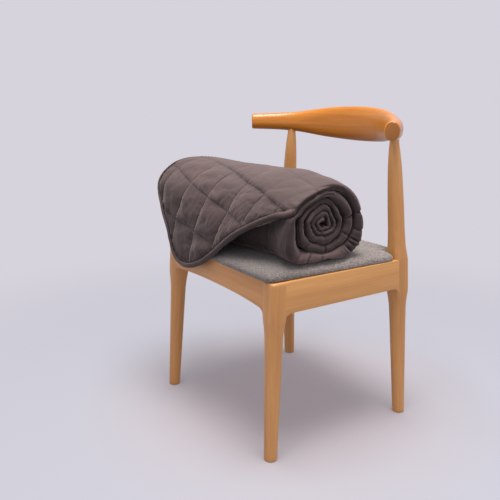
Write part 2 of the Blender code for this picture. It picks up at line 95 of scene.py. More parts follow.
FLAP_OUTLINE = (
    # x, arc down from the ridge: hem, round corner, left edge
    (0.2240, 0.1255), (0.2060, 0.1455), (0.1810, 0.1610), (0.1560, 0.1775),
    (0.1100, 0.2155), (0.0560, 0.2560), (0.0080, 0.3020), (-0.0360, 0.3380),
    (-0.0690, 0.3565), (-0.0990, 0.3670), (-0.1275, 0.3695), (-0.1510, 0.3640),
    (-0.1670, 0.3510), (-0.1815, 0.3300), (-0.1960, 0.3050), (-0.2160, 0.2800),
    (-0.2320, 0.2580), (-0.2550, 0.2290), (-0.2680, 0.2040), (-0.2755, 0.1760),
    (-0.2765, 0.1400), (-0.2760, 0.0900),
)
ROLL_SECTIONS = (
    # x, front y, back y
    (0.2240, -0.1580, 0.0650), (0.1900, -0.1500, 0.0670), (0.1500, -0.1400, 0.0670),
    (0.1000, -0.1380, 0.0650), (0.0500, -0.1460, 0.0640), (-0.0500, -0.1620, 0.0630),
    (-0.1500, -0.1840, 0.0630), (-0.2200, -0.1960, 0.0620), (-0.2770, -0.2010, 0.0580),
)
# shares of the way from the ridge to the back (or front), and from seat to ridge
BACK_SHAPE = ((0.36, 0.958), (0.58, 0.888), (0.80, 0.750), (0.955, 0.600), (1.0, 0.450),
              (0.998, 0.310), (0.955, 0.165), (0.835, 0.060), (0.64, 0.012), (0.35, 0.0))
FRONT_SHAPE = ((0.0, 0.0), (0.35, 0.0), (0.64, 0.0), (0.80, 0.016), (0.90, 0.060),
               (0.965, 0.140), (1.0, 0.260), (1.0, 0.380), (0.985, 0.490), (0.945, 0.600),
               (0.86, 0.720))
# turns wound since the top, and the distance from one layer's face to the next
PITCH = (
    (-0.30, 0.0122), (-0.10, 0.0124), (0.00, 0.0125), (0.05, 0.0155), (0.098, 0.0220),
    (0.14, 0.0260), (0.19, 0.0280), (0.24, 0.0295), (0.283, 0.0330), (0.319, 0.0410),
    (0.347, 0.0440), (0.375, 0.0395), (0.422, 0.0255), (0.47, 0.0185), (0.517, 0.0166),
    (0.56, 0.0235), (0.604, 0.0340), (0.645, 0.0405), (0.70, 0.0385), (0.75, 0.0320),
    (0.80, 0.0205), (0.85, 0.0140), (0.90, 0.0124), (0.95, 0.0122), (1.00, 0.0140),
    (1.04, 0.0185), (1.08, 0.0245), (1.14, 0.0285), (1.20, 0.0325), (1.25, 0.0350),
    (1.30, 0.0325), (1.36, 0.0275), (1.42, 0.0215), (1.50, 0.0189), (1.60, 0.0216),
    (1.67, 0.0240), (1.73, 0.0217), (1.80, 0.0178), (1.90, 0.0137), (2.00, 0.0130),
    (2.06, 0.0145), (2.12, 0.0180), (2.20, 0.0187), (2.35, 0.0195), (2.50, 0.0205),
    (2.60, 0.0195), (2.70, 0.0175), (2.80, 0.0138), (2.90, 0.0133), (3.00, 0.0130),
    (3.25, 0.0122), (3.50, 0.0115), (3.75, 0.0135), (4.00, 0.0122), (4.50, 0.0100),
    (5.10, 0.0090),
)
# turns, and the open gap left inside the layer
GAP = (
    (-0.30, 0.0012), (0.02, 0.0012), (0.08, 0.0040), (0.13, 0.0058), (0.19, 0.0045),
    (0.25, 0.0020), (0.283, 0.0035), (0.31, 0.0018), (0.50, 0.0014), (0.60, 0.0020),
    (0.655, 0.0065), (0.70, 0.0070), (0.75, 0.0030), (0.81, 0.0012), (1.00, 0.0012),
    (1.08, 0.0040), (1.15, 0.0070), (1.20, 0.0095), (1.26, 0.0085), (1.31, 0.0045),
    (1.365, 0.0065), (1.42, 0.0030), (1.50, 0.0014), (1.68, 0.0022), (1.72, 0.0065),
    (1.76, 0.0040), (1.82, 0.0045), (1.90, 0.0018), (2.00, 0.0022), (2.09, 0.0050),
    (2.15, 0.0030), (2.22, 0.0065), (2.32, 0.0030), (2.45, 0.0016), (3.00, 0.0013),
    (3.22, 0.0030), (3.35, 0.0016), (3.68, 0.0030), (3.80, 0.0012), (5.10, 0.0010),
)
# turns, depth and width (in turns) of the tucks seen in the right end
TUCKS = (
    (0.218, 0.0060, 0.0040), (0.283, 0.0052, 0.0040), (0.321, 0.0070, 0.0036),
    (0.340, 0.0052, 0.0034), (0.362, 0.0070, 0.0040), (0.522, 0.0050, 0.0045),
    (0.593, 0.0065, 0.0045), (0.640, 0.0026, 0.0055), (1.224, 0.0058, 0.0050),
    (1.313, 0.0050, 0.0048), (1.496, 0.0056, 0.0055), (1.560, 0.0028, 0.0055),
    (1.640, 0.0024, 0.0065), (2.180, 0.0028, 0.0090), (2.492, 0.0052, 0.0090),
    (2.640, 0.0020, 0.0110), (3.080, 0.0022, 0.0130), (3.560, 0.0032, 0.0130),
)
# turns, and the spacing of the mesh rows
ROW_STEP = (
    (0.00, 0.0035), (0.19, 0.0033), (0.205, 0.0024), (0.375, 0.0024), (0.40, 0.0048),
    (0.50, 0.0048), (0.512, 0.0026), (0.605, 0.0026), (0.63, 0.0036), (0.78, 0.0036),
    (0.82, 0.0050), (1.02, 0.0055), (1.20, 0.0052), (1.215, 0.0030), (1.325, 0.0030),
    (1.35, 0.0056), (1.475, 0.0056), (1.487, 0.0030), (1.51, 0.0030), (1.53, 0.0062),
    (2.00, 0.0068), (5.10, 0.0066),
)
TURNS = 4.95
CELL = 0.085                     # side of a quilted square


# ----------------------------------------------------------------- numbers
def hermite(xs, ys, x):
    """Cubic through a table, for an array of x."""
    xs, ys = np.asarray(xs, float), np.asarray(ys, float)
    if xs[0] > xs[-1]:
        xs, ys = xs[::-1], ys[::-1]
    slope = np.gradient(ys, xs, axis=0)
    x = np.clip(np.asarray(x, float), xs[0], xs[-1])
    k = np.clip(np.searchsorted(xs, x) - 1, 0, len(xs) - 2)
    h = xs[k + 1] - xs[k]
    t = (x - xs[k]) / h
    if ys.ndim > 1:
        h, t = h[..., None], t[..., None]
    return ((2 * t**3 - 3 * t**2 + 1) * ys[k] + (t**3 - 2 * t**2 + t) * h * slope[k]
            + (3 * t**2 - 2 * t**3) * ys[k + 1] + (t**3 - t**2) * h * slope[k + 1])


def ramp(lo, hi, v):
    t = np.clip((np.asarray(v, float) - lo) / (hi - lo), 0.0, 1.0)
    return t * t * (3 - 2 * t)


def unit(v):
    return v / np.maximum(np.linalg.norm(v, axis=-1, keepdims=True), 1e-12)


def ripple(x, y, wave, seed, count=9):
    """Smooth seeded noise of about one wavelength, roughly -1 to 1."""
    rng = np.random.default_rng(seed)
    total = np.zeros(np.broadcast(x, y).shape)
    for _ in range(count):
        a = rng.uniform(0, 2 * math.pi)
        k = 2 * math.pi / (wave * rng.uniform(0.7, 1.5))
        total = total + np.sin(k * (x * math.cos(a) + y * math.sin(a)) + rng.uniform(0, 6.3))
    return total / math.sqrt(count) * 0.9


# ----------------------------------------------------------------- mesh making
def make_piece(name, verts, faces, mat, body="root", sharp=None, attrs=None):
    mesh = bpy.data.meshes.new(name)
    verts = np.asarray(verts, float) + SHIFT_V
    mesh.from_pydata([tuple(v) for v in verts.tolist()], [], faces)
    bm = bmesh.new()
    bm.from_mesh(mesh)
    bmesh.ops.recalc_face_normals(bm, faces=bm.faces)
    if bm.calc_volume(signed=True) < 0:
        bmesh.ops.reverse_faces(bm, faces=bm.faces)
    bm.to_mesh(mesh)
    bm.free()
    for key, data in (attrs or {}).items():
        layer = mesh.attributes.new(key, "FLOAT_VECTOR", "POINT")
        layer.data.foreach_set("vector", np.asarray(data, np.float32).ravel())
    mesh.materials.append(mat)
    mesh.shade_smooth()
    if sharp:
        mesh.set_sharp_from_angle(angle=math.radians(sharp))
    obj = bpy.data.objects.new(name, mesh)
    bpy.context.scene.collection.objects.link(obj)
    if body:
        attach(obj, body)
    return obj


def loft(rings, caps=True):
    n = len(rings[0])
    verts = [v for ring in rings for v in ring]
    faces = []
    for k in range(len(rings) - 1):
        for i in range(n):
            j = (i + 1) % n
            faces.append((k * n + i, k * n + j, (k + 1) * n + j, (k + 1) * n + i))
    if caps:
        faces.append(tuple(reversed(range(n))))
        last = (len(rings) - 1) * n
        faces.append(tuple(last + i for i in range(n)))
    return verts, faces


# ----------------------------------------------------------------- node helpers
class Nodes:
    """A small writer for a material's node tree."""

    def __init__(self, name):
        self.mat = bpy.data.materials.new(name)
        self.mat.use_nodes = True
        self.tree = self.mat.node_tree
        self.bsdf = self.tree.nodes["Principled BSDF"]

    def add(self, kind, **settings):
        node = self.tree.nodes.new(kind)
        for key, value in settings.items():
            if key.startswith("in_"):
                name = key[3:].replace("_", " ")
                node.inputs[int(name) if name.isdigit() else name].default_value = value
            else:
                setattr(node, key, value)
        return node

    def link(self, a, b):
        self.tree.links.new(a, b)

    def math(self, op, a, b=None, c=None, clamp=False):
        node = self.add("ShaderNodeMath", operation=op, use_clamp=clamp)
        for i, v in enumerate((a, b, c)):
            if v is None:
                continue
            if isinstance(v, (int, float)):
                node.inputs[i].default_value = v
            else:
                self.link(v, node.inputs[i])
        return node.outputs[0]

    def noise(self, vector, scale, detail=2.0, rough=0.5, distort=0.0):
        node = self.add("ShaderNodeTexNoise", in_Scale=scale, in_Detail=detail,
                        in_Roughness=rough, in_Distortion=distort)
        self.link(vector, node.inputs["Vector"])
        return node.outputs[0]

    def scaled(self, vector, scale, shift=(0, 0, 0)):
        node = self.add("ShaderNodeMapping", in_Scale=scale, in_Location=shift)
        self.link(vector, node.inputs["Vector"])
        return node.outputs[0]

    def ramp(self, value, stops):
        node = self.add("ShaderNodeValToRGB")
        els = node.color_ramp.elements
        while len(els) > 1:
            els.remove(els[-1])
        els[0].position, els[0].color = stops[0][0], (*stops[0][1], 1.0)
        for pos, col in stops[1:]:
            e = els.new(pos)
            e.color = (*col, 1.0)
        self.link(value, node.inputs[0])
        return node.outputs[0]

    def span(self, value, lo, hi, out_lo, out_hi):
        node = self.add("ShaderNodeMapRange")
        for i, v in enumerate((lo, hi, out_lo, out_hi)):
            node.inputs[i + 1].default_value = v
        self.link(value, node.inputs[0])
        return node.outputs[0]

    def mix(self, fac, a, b, blend="MIX"):
        node = self.add("ShaderNodeMix", data_type="RGBA", blend_type=blend)
        for sock, v in ((node.inputs[0], fac), (node.inputs[6], a), (node.inputs[7], b)):
            if isinstance(v, (int, float)):
                sock.default_value = v
            elif isinstance(v, tuple):
                sock.default_value = (*v, 1.0)
            else:
                self.link(v, sock)
        return node.outputs[2]

    def bump(self, height, strength, distance, normal=None):
        node = self.add("ShaderNodeBump", in_Strength=strength, in_Distance=distance)
        self.link(height, node.inputs["Height"])
        if normal is not None:
            self.link(normal, node.inputs["Normal"])
        return node.outputs[0]

    def attribute(self, name):
        return self.add("ShaderNodeAttribute", attribute_name=name).outputs["Vector"]


# ----------------------------------------------------------------- materials
def wood(name, dark, mid, light, rough, coat, grain=1.0, under=0.0):
    """Straight-grained wood: x of the grain attribute runs along the piece."""
    n = Nodes(name)
    at = n.attribute("grain")
    broad = n.noise(n.scaled(at, (2.0, 15, 15)), 1.0, 3.0, 0.5, 0.5)
    streak = n.noise(n.scaled(at, (3.2, 120, 120), (2, 5, 1)), 1.0, 3.0, 0.6, 0.3)
    fibre = n.noise(n.scaled(at, (9, 420, 420)), 1.0, 4.0, 0.6)
    pore = n.noise(n.scaled(at, (38, 900, 900)), 1.0, 2.0, 0.5)
    rings = n.add("ShaderNodeTexWave", wave_type="BANDS", bands_direction="Y",
                  in_Scale=1.0, in_Distortion=7.5, in_Detail=3.0)
    rings.inputs["Detail Scale"].default_value = 0.8
    n.link(n.scaled(at, (1.1, 9, 7)), rings.inputs["Vector"])
    figure = n.math("MULTIPLY_ADD", rings.outputs[1], 0.16 * grain,
                    n.math("MULTIPLY_ADD", streak, 0.34, n.math("MULTIPLY", broad, 0.50)))
    col = n.ramp(figure, ((0.34, dark), (0.52, mid), (0.70, light)))
    col = n.mix(n.span(fibre, 0.38, 0.72, 0.0, 0.22 * grain), col, dark, "MULTIPLY")
    col = n.mix(n.span(pore, 0.62, 0.76, 0.0, 0.22 * grain), col, tuple(c * 0.45 for c in dark))
    cut = n.add("ShaderNodeSeparateXYZ")
    n.link(n.attribute("cut"), cut.inputs[0])
    col = n.mix(n.math("MULTIPLY", cut.outputs[0], 0.75), col, (dark[0] * 0.66, dark[1] * 0.80, dark[2] * 1.5))
    # painted shade: surfaces facing downwards are darkened by the under amount
    if under:
        normal_xyz = n.add("ShaderNodeSeparateXYZ")
        n.link(n.add("ShaderNodeNewGeometry").outputs["Normal"], normal_xyz.inputs[0])
        col = n.mix(n.span(normal_xyz.outputs[2], -0.75, -0.10, under, 0.0), col, tuple(c * 0.5 for c in dark))
    n.link(col, n.bsdf.inputs["Base Color"])
    n.link(n.span(fibre, 0.3, 0.7, rough - 0.05, rough + 0.08), n.bsdf.inputs["Roughness"])
    n.bsdf.inputs["Coat Weight"].default_value = coat
    n.bsdf.inputs["Coat Roughness"].default_value = 0.16
    n.bsdf.inputs["Specular IOR Level"].default_value = 0.40
    height = n.math("ADD", fibre, n.math("MULTIPLY", pore, -0.6))
    n.link(n.bump(height, 0.10, 0.0005), n.bsdf.inputs["Normal"])
    return n.mat


def blanket_cloth(name, base, seam_lines=True):
    """Brushed, closely woven cover with stitched seams along whole numbers of the
    cloth attribute's x and y, which count quilted squares."""
    n = Nodes(name)
    at = n.attribute("cloth")
    metres = n.scaled(at, (CELL, CELL, CELL))
    dark = tuple(c * 0.55 for c in base)
    light = tuple(min(c * 1.35, 1.0) for c in base)
    cloud = n.noise(metres, 15.0, 3.0, 0.55)
    col = n.ramp(cloud, ((0.30, tuple(c * 0.86 for c in base)), (0.52, base), (0.74, light)))
    sep = n.add("ShaderNodeSeparateXYZ")
    n.link(at, sep.inputs[0])
    # thread weave
    warp = n.add("ShaderNodeTexWave", wave_type="BANDS", bands_direction="X", in_Scale=1.0,
                 in_Distortion=0.6, in_Detail=1.0)
    n.link(n.scaled(metres, (420, 420, 420)), warp.inputs["Vector"])
    weft = n.add("ShaderNodeTexWave", wave_type="BANDS", bands_direction="Y", in_Scale=1.0,
                 in_Distortion=0.6, in_Detail=1.0)
    n.link(n.scaled(metres, (420, 420, 420)), weft.inputs["Vector"])
    weave = n.math("MULTIPLY", warp.outputs[1], weft.outputs[1])
    slub = n.noise(n.scaled(metres, (60, 700, 300)), 1.0, 2.0, 0.6)
    creases = n.noise(metres, 70.0, 4.0, 0.62, 0.9)
    soft = n.noise(metres, 34.0, 2.0, 0.5, 0.4)
    col = n.mix(n.span(weave, 0.0, 1.0, 0.0, 0.24), col, dark, "MIX")
    col = n.mix(n.span(slub, 0.45, 0.70, 0.0, 0.16), col, light, "MIX")
    if seam_lines:
        shown = n.add("ShaderNodeSeparateXYZ")
        n.link(n.attribute("seams"), shown.inputs[0])
        near = []
        for k in (0, 1):
            frac = n.math("FRACT", n.math("ADD", sep.outputs[k], 0.5))
            near.append(n.math("ABSOLUTE", n.math("SUBTRACT", frac, 0.5)))
        dist = n.math("MINIMUM", near[0], near[1])           # in squares
        groove = n.math("MULTIPLY", n.span(dist, 0.0, 0.026, 1.0, 0.0), shown.outputs[0])
        wide = n.math("MULTIPLY", n.span(dist, 0.0, 0.085, 1.0, 0.0), shown.outputs[0])
        # painted shade: darker in a band beside each seam and darkest in its stitched groove
        col = n.mix(n.math("MULTIPLY", wide, 0.36), col, dark)
        col = n.mix(n.math("MULTIPLY", groove, 0.80), col, tuple(c * 0.22 for c in base))
    # painted light and shade: lighter on parts facing up and darker on hanging sides, as the light falls from above
    normal_xyz = n.add("ShaderNodeSeparateXYZ")
    n.link(n.add("ShaderNodeNewGeometry").outputs["Normal"], normal_xyz.inputs[0])
    col = n.mix(n.span(normal_xyz.outputs[2], 0.0, 0.85, 0.0, 1.0), col, (1.35, 1.42, 1.41), "MULTIPLY")
    col = n.mix(n.span(normal_xyz.outputs[2], -0.15, 0.80, 0.46 if seam_lines else 0.28, 0.0), col, (0.004, 0.002, 0.002))
    # painted shade: darker in folds and recesses found by ambient occlusion
    fold = n.add("ShaderNodeAmbientOcclusion", samples=8, in_Distance=0.045)
    col = n.mix(n.span(fold.outputs["AO"], 0.15, 0.85, 0.62 if seam_lines else 0.30, 0.0), col, (0.003, 0.002, 0.002))
    # painted light from the seams attribute's y and painted shade from its z; on the tape, painted light from the
    # cloth attribute's z
    if seam_lines:
        col = n.mix(shown.outputs[1], col, tuple(c * 2.6 for c in base))
        col = n.mix(shown.outputs[2], col, (0.003, 0.002, 0.002))
    else:
        col = n.mix(sep.outputs[2], col, tuple(c * 2.6 for c in base))
    n.link(col, n.bsdf.inputs["Base Color"])
    n.link(n.span(cloud, 0.3, 0.7, 0.66, 0.80), n.bsdf.inputs["Roughness"])
    n.bsdf.inputs["Specular IOR Level"].default_value = 0.28
    n.bsdf.inputs["Sheen Weight"].default_value = 0.29
    n.bsdf.inputs["Sheen Roughness"].default_value = 0.42
    n.bsdf.inputs["Sheen Tint"].default_value = (1.0, 0.80, 0.75, 1.0)
    normal = n.bump(soft, 0.32, 0.0040)
    normal = n.bump(creases, 0.45, 0.0018, normal)
    if seam_lines:
        # stitches: short dashes along each seam
        thread = []
        for k in (0, 1):
            dash = n.math("SINE", n.math("MULTIPLY", sep.outputs[1 - k], 2 * math.pi * CELL / 0.0032))
            thread.append(n.math("MULTIPLY", n.span(dash, -0.2, 0.4, 0.0, 1.0),
                                 n.span(near[k], 0.0, 0.012, 1.0, 0.0)))
        stitch = n.math("MULTIPLY", n.math("MAXIMUM", thread[0], thread[1]), shown.outputs[0])
        normal = n.bump(n.math("SUBTRACT", n.math("MULTIPLY", stitch, 0.35), groove),
                        0.9, 0.0016, normal)
    else:
        # two rows of stitching beside the fold of the tape
        row = n.math("ABSOLUTE", n.math("SUBTRACT", sep.outputs[1], 0.105))
        dash = n.math("SINE", n.math("MULTIPLY", sep.outputs[0], 2 * math.pi * CELL / 0.0032))
        stitch = n.math("MULTIPLY", n.span(dash, -0.2, 0.4, 0.2, 1.0), n.span(row, 0.0, 0.014, 1.0, 0.0))
        normal = n.bump(stitch, -0.7, 0.0010, normal)
    normal = n.bump(weave, 0.25, 0.0003, normal)
    n.link(normal, n.bsdf.inputs["Normal"])
    return n.mat


def seat_cloth(name):
    """Heathered plain weave: light and dark yarns crossing."""
    n = Nodes(name)
    at = n.attribute("cloth")
    yarn_x = n.noise(n.scaled(at, (140, 760, 300)), 1.0, 2.0, 0.6)
    yarn_y = n.noise(n.scaled(at, (760, 140, 300), (3, 7, 1)), 1.0, 2.0, 0.6)
    slub = n.noise(n.scaled(at, (330, 500, 300)), 1.0, 3.0, 0.7)
    cloud = n.noise(at, 22.0, 3.0, 0.5)
    mixed = n.math("ADD", n.math("MULTIPLY", yarn_x, 0.5), n.math("MULTIPLY", yarn_y, 0.5))
    mixed = n.math("MULTIPLY_ADD", slub, 0.30, n.math("MULTIPLY", mixed, 0.70))
    col = n.ramp(mixed, ((0.39, (0.095, 0.079, 0.071)), (0.465, (0.182, 0.154, 0.138)),
                         (0.53, (0.282, 0.246, 0.221)), (0.61, (0.420, 0.378, 0.345))))
    spot = n.add("ShaderNodeSeparateXYZ")
    n.link(at, spot.inputs[0])
    fold = n.add("ShaderNodeAmbientOcclusion", samples=8, in_Distance=0.10)
    col = n.mix(n.span(cloud, 0.35, 0.65, 0.0, 0.20), col, (0.180, 0.154, 0.140))
    # painted shadow: the pad darkens towards its front, where the roll shades it
    col = n.mix(n.span(spot.outputs[1], -0.17, -0.02, 0.40, 0.0), col, (0.120, 0.105, 0.094), "MULTIPLY")
    # painted shade: darker where ambient occlusion finds the roll nearby, less so towards the right end
    shaded = n.math("MULTIPLY", n.span(fold.outputs["AO"], 0.20, 0.80, 0.45, 0.0),
                    n.span(spot.outputs[0], 0.09, 0.20, 1.0, 0.15))
    col = n.mix(shaded, col, (0.15, 0.14, 0.14), "MULTIPLY")
    n.link(col, n.bsdf.inputs["Base Color"])
    n.bsdf.inputs["Roughness"].default_value = 0.92
    n.bsdf.inputs["Specular IOR Level"].default_value = 0.15
    n.bsdf.inputs["Sheen Weight"].default_value = 0.25
    n.bsdf.inputs["Sheen Roughness"].default_value = 0.5
    waves = []
    for direction in ("X", "Y"):
        wave = n.add("ShaderNodeTexWave", wave_type="BANDS", bands_direction=direction,
                     in_Scale=1.0, in_Distortion=1.2, in_Detail=2.0)
        n.link(n.scaled(at, (260, 260, 260)), wave.inputs["Vector"])
        waves.append(wave.outputs[1])
    normal = n.bump(mixed, 0.5, 0.0010)
    normal = n.bump(n.math("MULTIPLY", waves[0], waves[1]), 0.5, 0.0006, normal)
    n.link(normal, n.bsdf.inputs["Normal"])
    return n.mat


BACKDROP = (0.672, 0.651, 0.716)


def studio(name):
    """Pale floor that melts into the backdrop away from the object."""
    n = Nodes(name)
    n.bsdf.inputs["Roughness"].default_value = 0.95
    n.bsdf.inputs["Specular IOR Level"].default_value = 0.05
    glow = n.add("ShaderNodeEmission")
    glow.inputs[0].default_value = (*BACKDROP, 1.0)
    glow.inputs[1].default_value = 1.0
    place = n.add("ShaderNodeTexCoord").outputs["Object"]
    length = n.add("ShaderNodeVectorMath", operation="LENGTH")
    n.link(place, length.inputs[0])
    # the floor under the chair is warmer, by light thrown down from the wood
    far = n.span(length.outputs["Value"], 0.12, 0.55, 0.0, 1.0)
    n.link(n.mix(far, (0.424, 0.360, 0.362), (0.387, 0.391, 0.427)), n.bsdf.inputs["Base Color"])
    share = n.add("ShaderNodeMapRange", interpolation_type="SMOOTHSTEP")
    for i, v in enumerate((0.45, 1.70, 0.18, 1.0)):
        share.inputs[i + 1].default_value = v
    n.link(length.outputs["Value"], share.inputs[0])
    mix = n.add("ShaderNodeMixShader")
    n.link(share.outputs[0], mix.inputs[0])
    n.link(n.bsdf.outputs[0], mix.inputs[1])
    n.link(glow.outputs[0], mix.inputs[2])
    out = n.tree.nodes["Material Output"]
    n.link(mix.outputs[0], out.inputs[0])
    return n.mat


FRAME_WOOD = wood("frame_wood", (0.468, 0.213, 0.063), (0.550, 0.260, 0.081),
                  (0.618, 0.307, 0.105), 0.40, 0.15)
RAIL_WOOD = wood("rail_wood", (0.560, 0.270, 0.083), (0.620, 0.306, 0.097),
                 (0.675, 0.346, 0.115), 0.42, 0.12)
REST_WOOD = wood("backrest_wood", (0.395, 0.122, 0.010), (0.525, 0.181, 0.0155),
                 (0.625, 0.240, 0.027), 0.30, 0.30, under=0.45)
CLOTH = blanket_cloth("blanket_cloth", (0.0580, 0.0368, 0.0342))
BINDING = blanket_cloth("binding_cloth", (0.0580, 0.0368, 0.0342), seam_lines=False)
SEAT = seat_cloth("seat_cloth")


# ----------------------------------------------------------------- chair: backrest
def rest_centre(u):
    a = np.abs(u)
    share = (-0.25, 0.0, 0.25, 0.5, 0.70, 0.85, 1.0)
    xs = (-0.0760, 0.0, 0.0760, 0.1430, 0.1937, 0.2310, REST_HALF_SPAN)
    ys = (0.2315, REST_MID_Y, 0.2315, 0.2035, 0.1690, 0.1330, REST_END_Y)
    x = float(hermite(share, xs, a))
    y = float(hermite(share, ys, a))
    return math.copysign(x, u) if u else 0.0, y


def rest_section(u):
    ax, ay = rest_centre(min(u + 0.02, 1.0))
    bx, by = rest_centre(max(u - 0.02, -1.0))
    tx, ty = ax - bx, ay - by
    length = math.hypot(tx, ty)
    a = abs(u)
    half_h = float(hermite((-0.35, 0.0, 0.35, 0.70, 1.0),
                           (0.0385, REST_MID_HALF_H, 0.0385, REST_POST_HALF_H, REST_END_HALF_H), a))
    half_t = REST_MID_HALF_T + (REST_END_HALF_T - REST_MID_HALF_T) * float(ramp(0.35, 1.0, a))
    return (-ty / length, tx / length), (tx / length, ty / length), half_h, half_t


def rest_underside(x, y):
    best = None
    for k in range(121):
        u = math.copysign(0.45 + 0.45 * k / 120, x)
        cx, cy = rest_centre(u)
        d = math.hypot(x - cx, y - cy)
        if best is None or d < best[0]:
            best = (d, u)
    _, _, half_h, half_t = rest_section(best[1])
    c = min(best[0] / half_t, 0.98)**(1 / REST_FLAT_T)
    return REST_Z - half_h * math.sqrt(1 - c * c)**REST_FLAT_H


def backrest():
    sides = 64
    us = [-1.0 + 2.0 * k / 120 for k in range(121)]
    rings, grain = [], []
    path = 0.0
    last = None
    soft = 0.0030

    def ring_at(u, inset, push):
        cx, cy = rest_centre(u)
        (nx, ny), (tx, ty), half_h, half_t = rest_section(u)
        ring, g = [], []
        for i in range(sides):
            p = 2 * math.pi * i / sides
            c, s = math.cos(p), math.sin(p)
            w = (half_t - inset) * math.copysign(abs(c)**REST_FLAT_T, c)
            h = (half_h - inset) * math.copysign(abs(s)**REST_FLAT_H, s)
            ring.append((cx + nx * w + tx * push, cy + ny * w + ty * push, REST_Z + h))
            g.append((path + push, w, h))
        return ring, g

    for k, u in enumerate(us):
        here = rest_centre(u)
        if last is not None:
            path += math.hypot(here[0] - last[0], here[1] - last[1])
        last = here
        if k == 0:
            for a in (0.0, 30.0, 60.0, 85.0):
                r = math.radians(a)
                ring, g = ring_at(u, soft * (1 - math.sin(r)), soft * (1 - math.cos(r)) * 1.0)
                rings.append(ring)
                grain += g
            continue
        if k == len(us) - 1:
            for a in (85.0, 60.0, 30.0, 0.0):
                r = math.radians(a)
                ring, g = ring_at(u, soft * (1 - math.sin(r)), -soft * (1 - math.cos(r)) * 1.0)
                rings.append(ring)
                grain += g
            continue
        ring, g = ring_at(u, 0.0, 0.0)
        rings.append(ring)
        grain += g
    verts, faces = loft(rings)
    # cut ends show end grain, a little darker
    cut = np.zeros((len(verts), 3))
    cut[:sides, 0] = cut[-sides:, 0] = 1.0
    obj = make_piece("backrest_bent", verts, faces, REST_WOOD, sharp=35, attrs={"grain": grain, "cut": cut})
    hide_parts("backrest")


# ----------------------------------------------------------------- chair: legs
LEG_SIDES = 56


def squircle(cx, cy, half, power, z, soft_side=0.0):
    ring = []
    for i in range(LEG_SIDES):
        a = 2 * math.pi * (i + 0.5) / LEG_SIDES
        c, s = math.cos(a), math.sin(a)
        r = half / (abs(c)**power + abs(s)**power)**(1.0 / power)
        ring.append((cx + r * c, cy + r * s, z))
    return ring


def leg_axis(top, foot, side, z):
    t = z / SEAT_RAIL_TOP
    return side * (foot[0] + (top[0] - foot[0]) * t), foot[1] + (top[1] - foot[1]) * t


def leg_rings(stations, top, foot, side, z0, z1, steps):
    zs = np.linspace(z0, z1, steps)
    rows = np.array(stations)
    half = hermite(rows[:, 0], rows[:, 1], zs)
    power = np.interp(zs, rows[:, 0], rows[:, 2])
    return [squircle(*leg_axis(top, foot, side, z), h, p, z) for z, h, p in zip(zs, half, power)]


LEG_SHAPE = (
    # z, half width, power
    (0.000, 0.0145, 2.0), (0.080, 0.0160, 2.0), (0.170, 0.0177, 2.0), (0.240, 0.0189, 2.05),
    (0.285, 0.0196, 2.25), (0.305, 0.0203, 2.9), (0.3179, BLOCK, 4.0), (0.3330, BLOCK, 5.0),
    (0.3600, BLOCK, 5.0), (SEAT_RAIL_TOP, BLOCK, 5.0),
)


def grain_for(rings):
    """Grain runs up the leg, each ring's place measured from its own centre."""
    out = []
    seed = rings[0][0][0] * 7.0 + rings[0][0][1] * 3.0
    for ring in rings:
        a = np.array(ring)
        c = a.mean(axis=0)
        out += [(p[2] + seed, p[0] - c[0] + seed, p[1] - c[1]) for p in a]
    return out


def front_leg(name, side):
    foot = [squircle(*leg_axis(FRONT_LEG, FRONT_FOOT, side, 0.0), 0.0145 - d, 2.0, z)
            for d, z in ((0.0022, 0.0), (0.0008, 0.0006))]
    rings = foot + leg_rings(LEG_SHAPE, FRONT_LEG, FRONT_FOOT, side, 0.0022, SEAT_RAIL_TOP - 0.003, 60)
    rings += [squircle(*leg_axis(FRONT_LEG, FRONT_FOOT, side, z), BLOCK - d, 5.0, z)
              for d, z in ((0.0006, SEAT_RAIL_TOP - 0.0015), (0.0020, SEAT_RAIL_TOP - 0.0003),
                           (0.0040, SEAT_RAIL_TOP))]
    obj = make_piece(name + "_turned", *loft(rings), FRAME_WOOD, sharp=50,
                     attrs={"grain": grain_for(rings)})
    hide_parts(name)


def back_leg(name, side):
    foot = [squircle(*leg_axis(BACK_LEG, BACK_FOOT, side, 0.0), 0.0145 - d, 2.0, z)
            for d, z in ((0.0022, 0.0), (0.0008, 0.0006))]
    rings = foot + leg_rings(LEG_SHAPE, BACK_LEG, BACK_FOOT, side, 0.0022, SEAT_RAIL_TOP - 0.002, 60)
    post_x, post_y, post_z = POST_TOP
    rows = np.array(((0.3989, BLOCK, 5.0), (0.412, 0.0204, 3.6), (0.430, 0.0196, 2.6),
                     (0.470, 0.0195, 2.0), (0.520, 0.0190, 2.0), (0.570, 0.0178, 2.0),
                     (0.620, 0.0157, 2.0), (0.655, 0.0128, 2.0), (post_z, 0.0110, 2.0)))
    zs = np.linspace(0.4025, post_z, 50)
    half = hermite(rows[:, 0], rows[:, 1], zs)
    power = np.interp(zs, rows[:, 0], rows[:, 2])
    for z, h, p in zip(zs, half, power):
        t = (z - SEAT_RAIL_TOP) / (post_z - SEAT_RAIL_TOP)
        rings.append(squircle(side * (BACK_LEG[0] + (post_x - BACK_LEG[0]) * t),
                              BACK_LEG[1] + (post_y - BACK_LEG[1]) * t, h, p, z))
    cx, cy = side * post_x, post_y
    for k in range(8):
        ring = squircle(cx, cy, 0.0106 * (1 - k / 8), 2.0, 0.0)
        rings.append([(x, y, rest_underside(x, y) + 0.0004) for x, y, _ in ring])
    obj = make_piece(name + "_turned", *loft(rings), FRAME_WOOD, sharp=60,
                     attrs={"grain": grain_for(rings)})
    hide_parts(name)


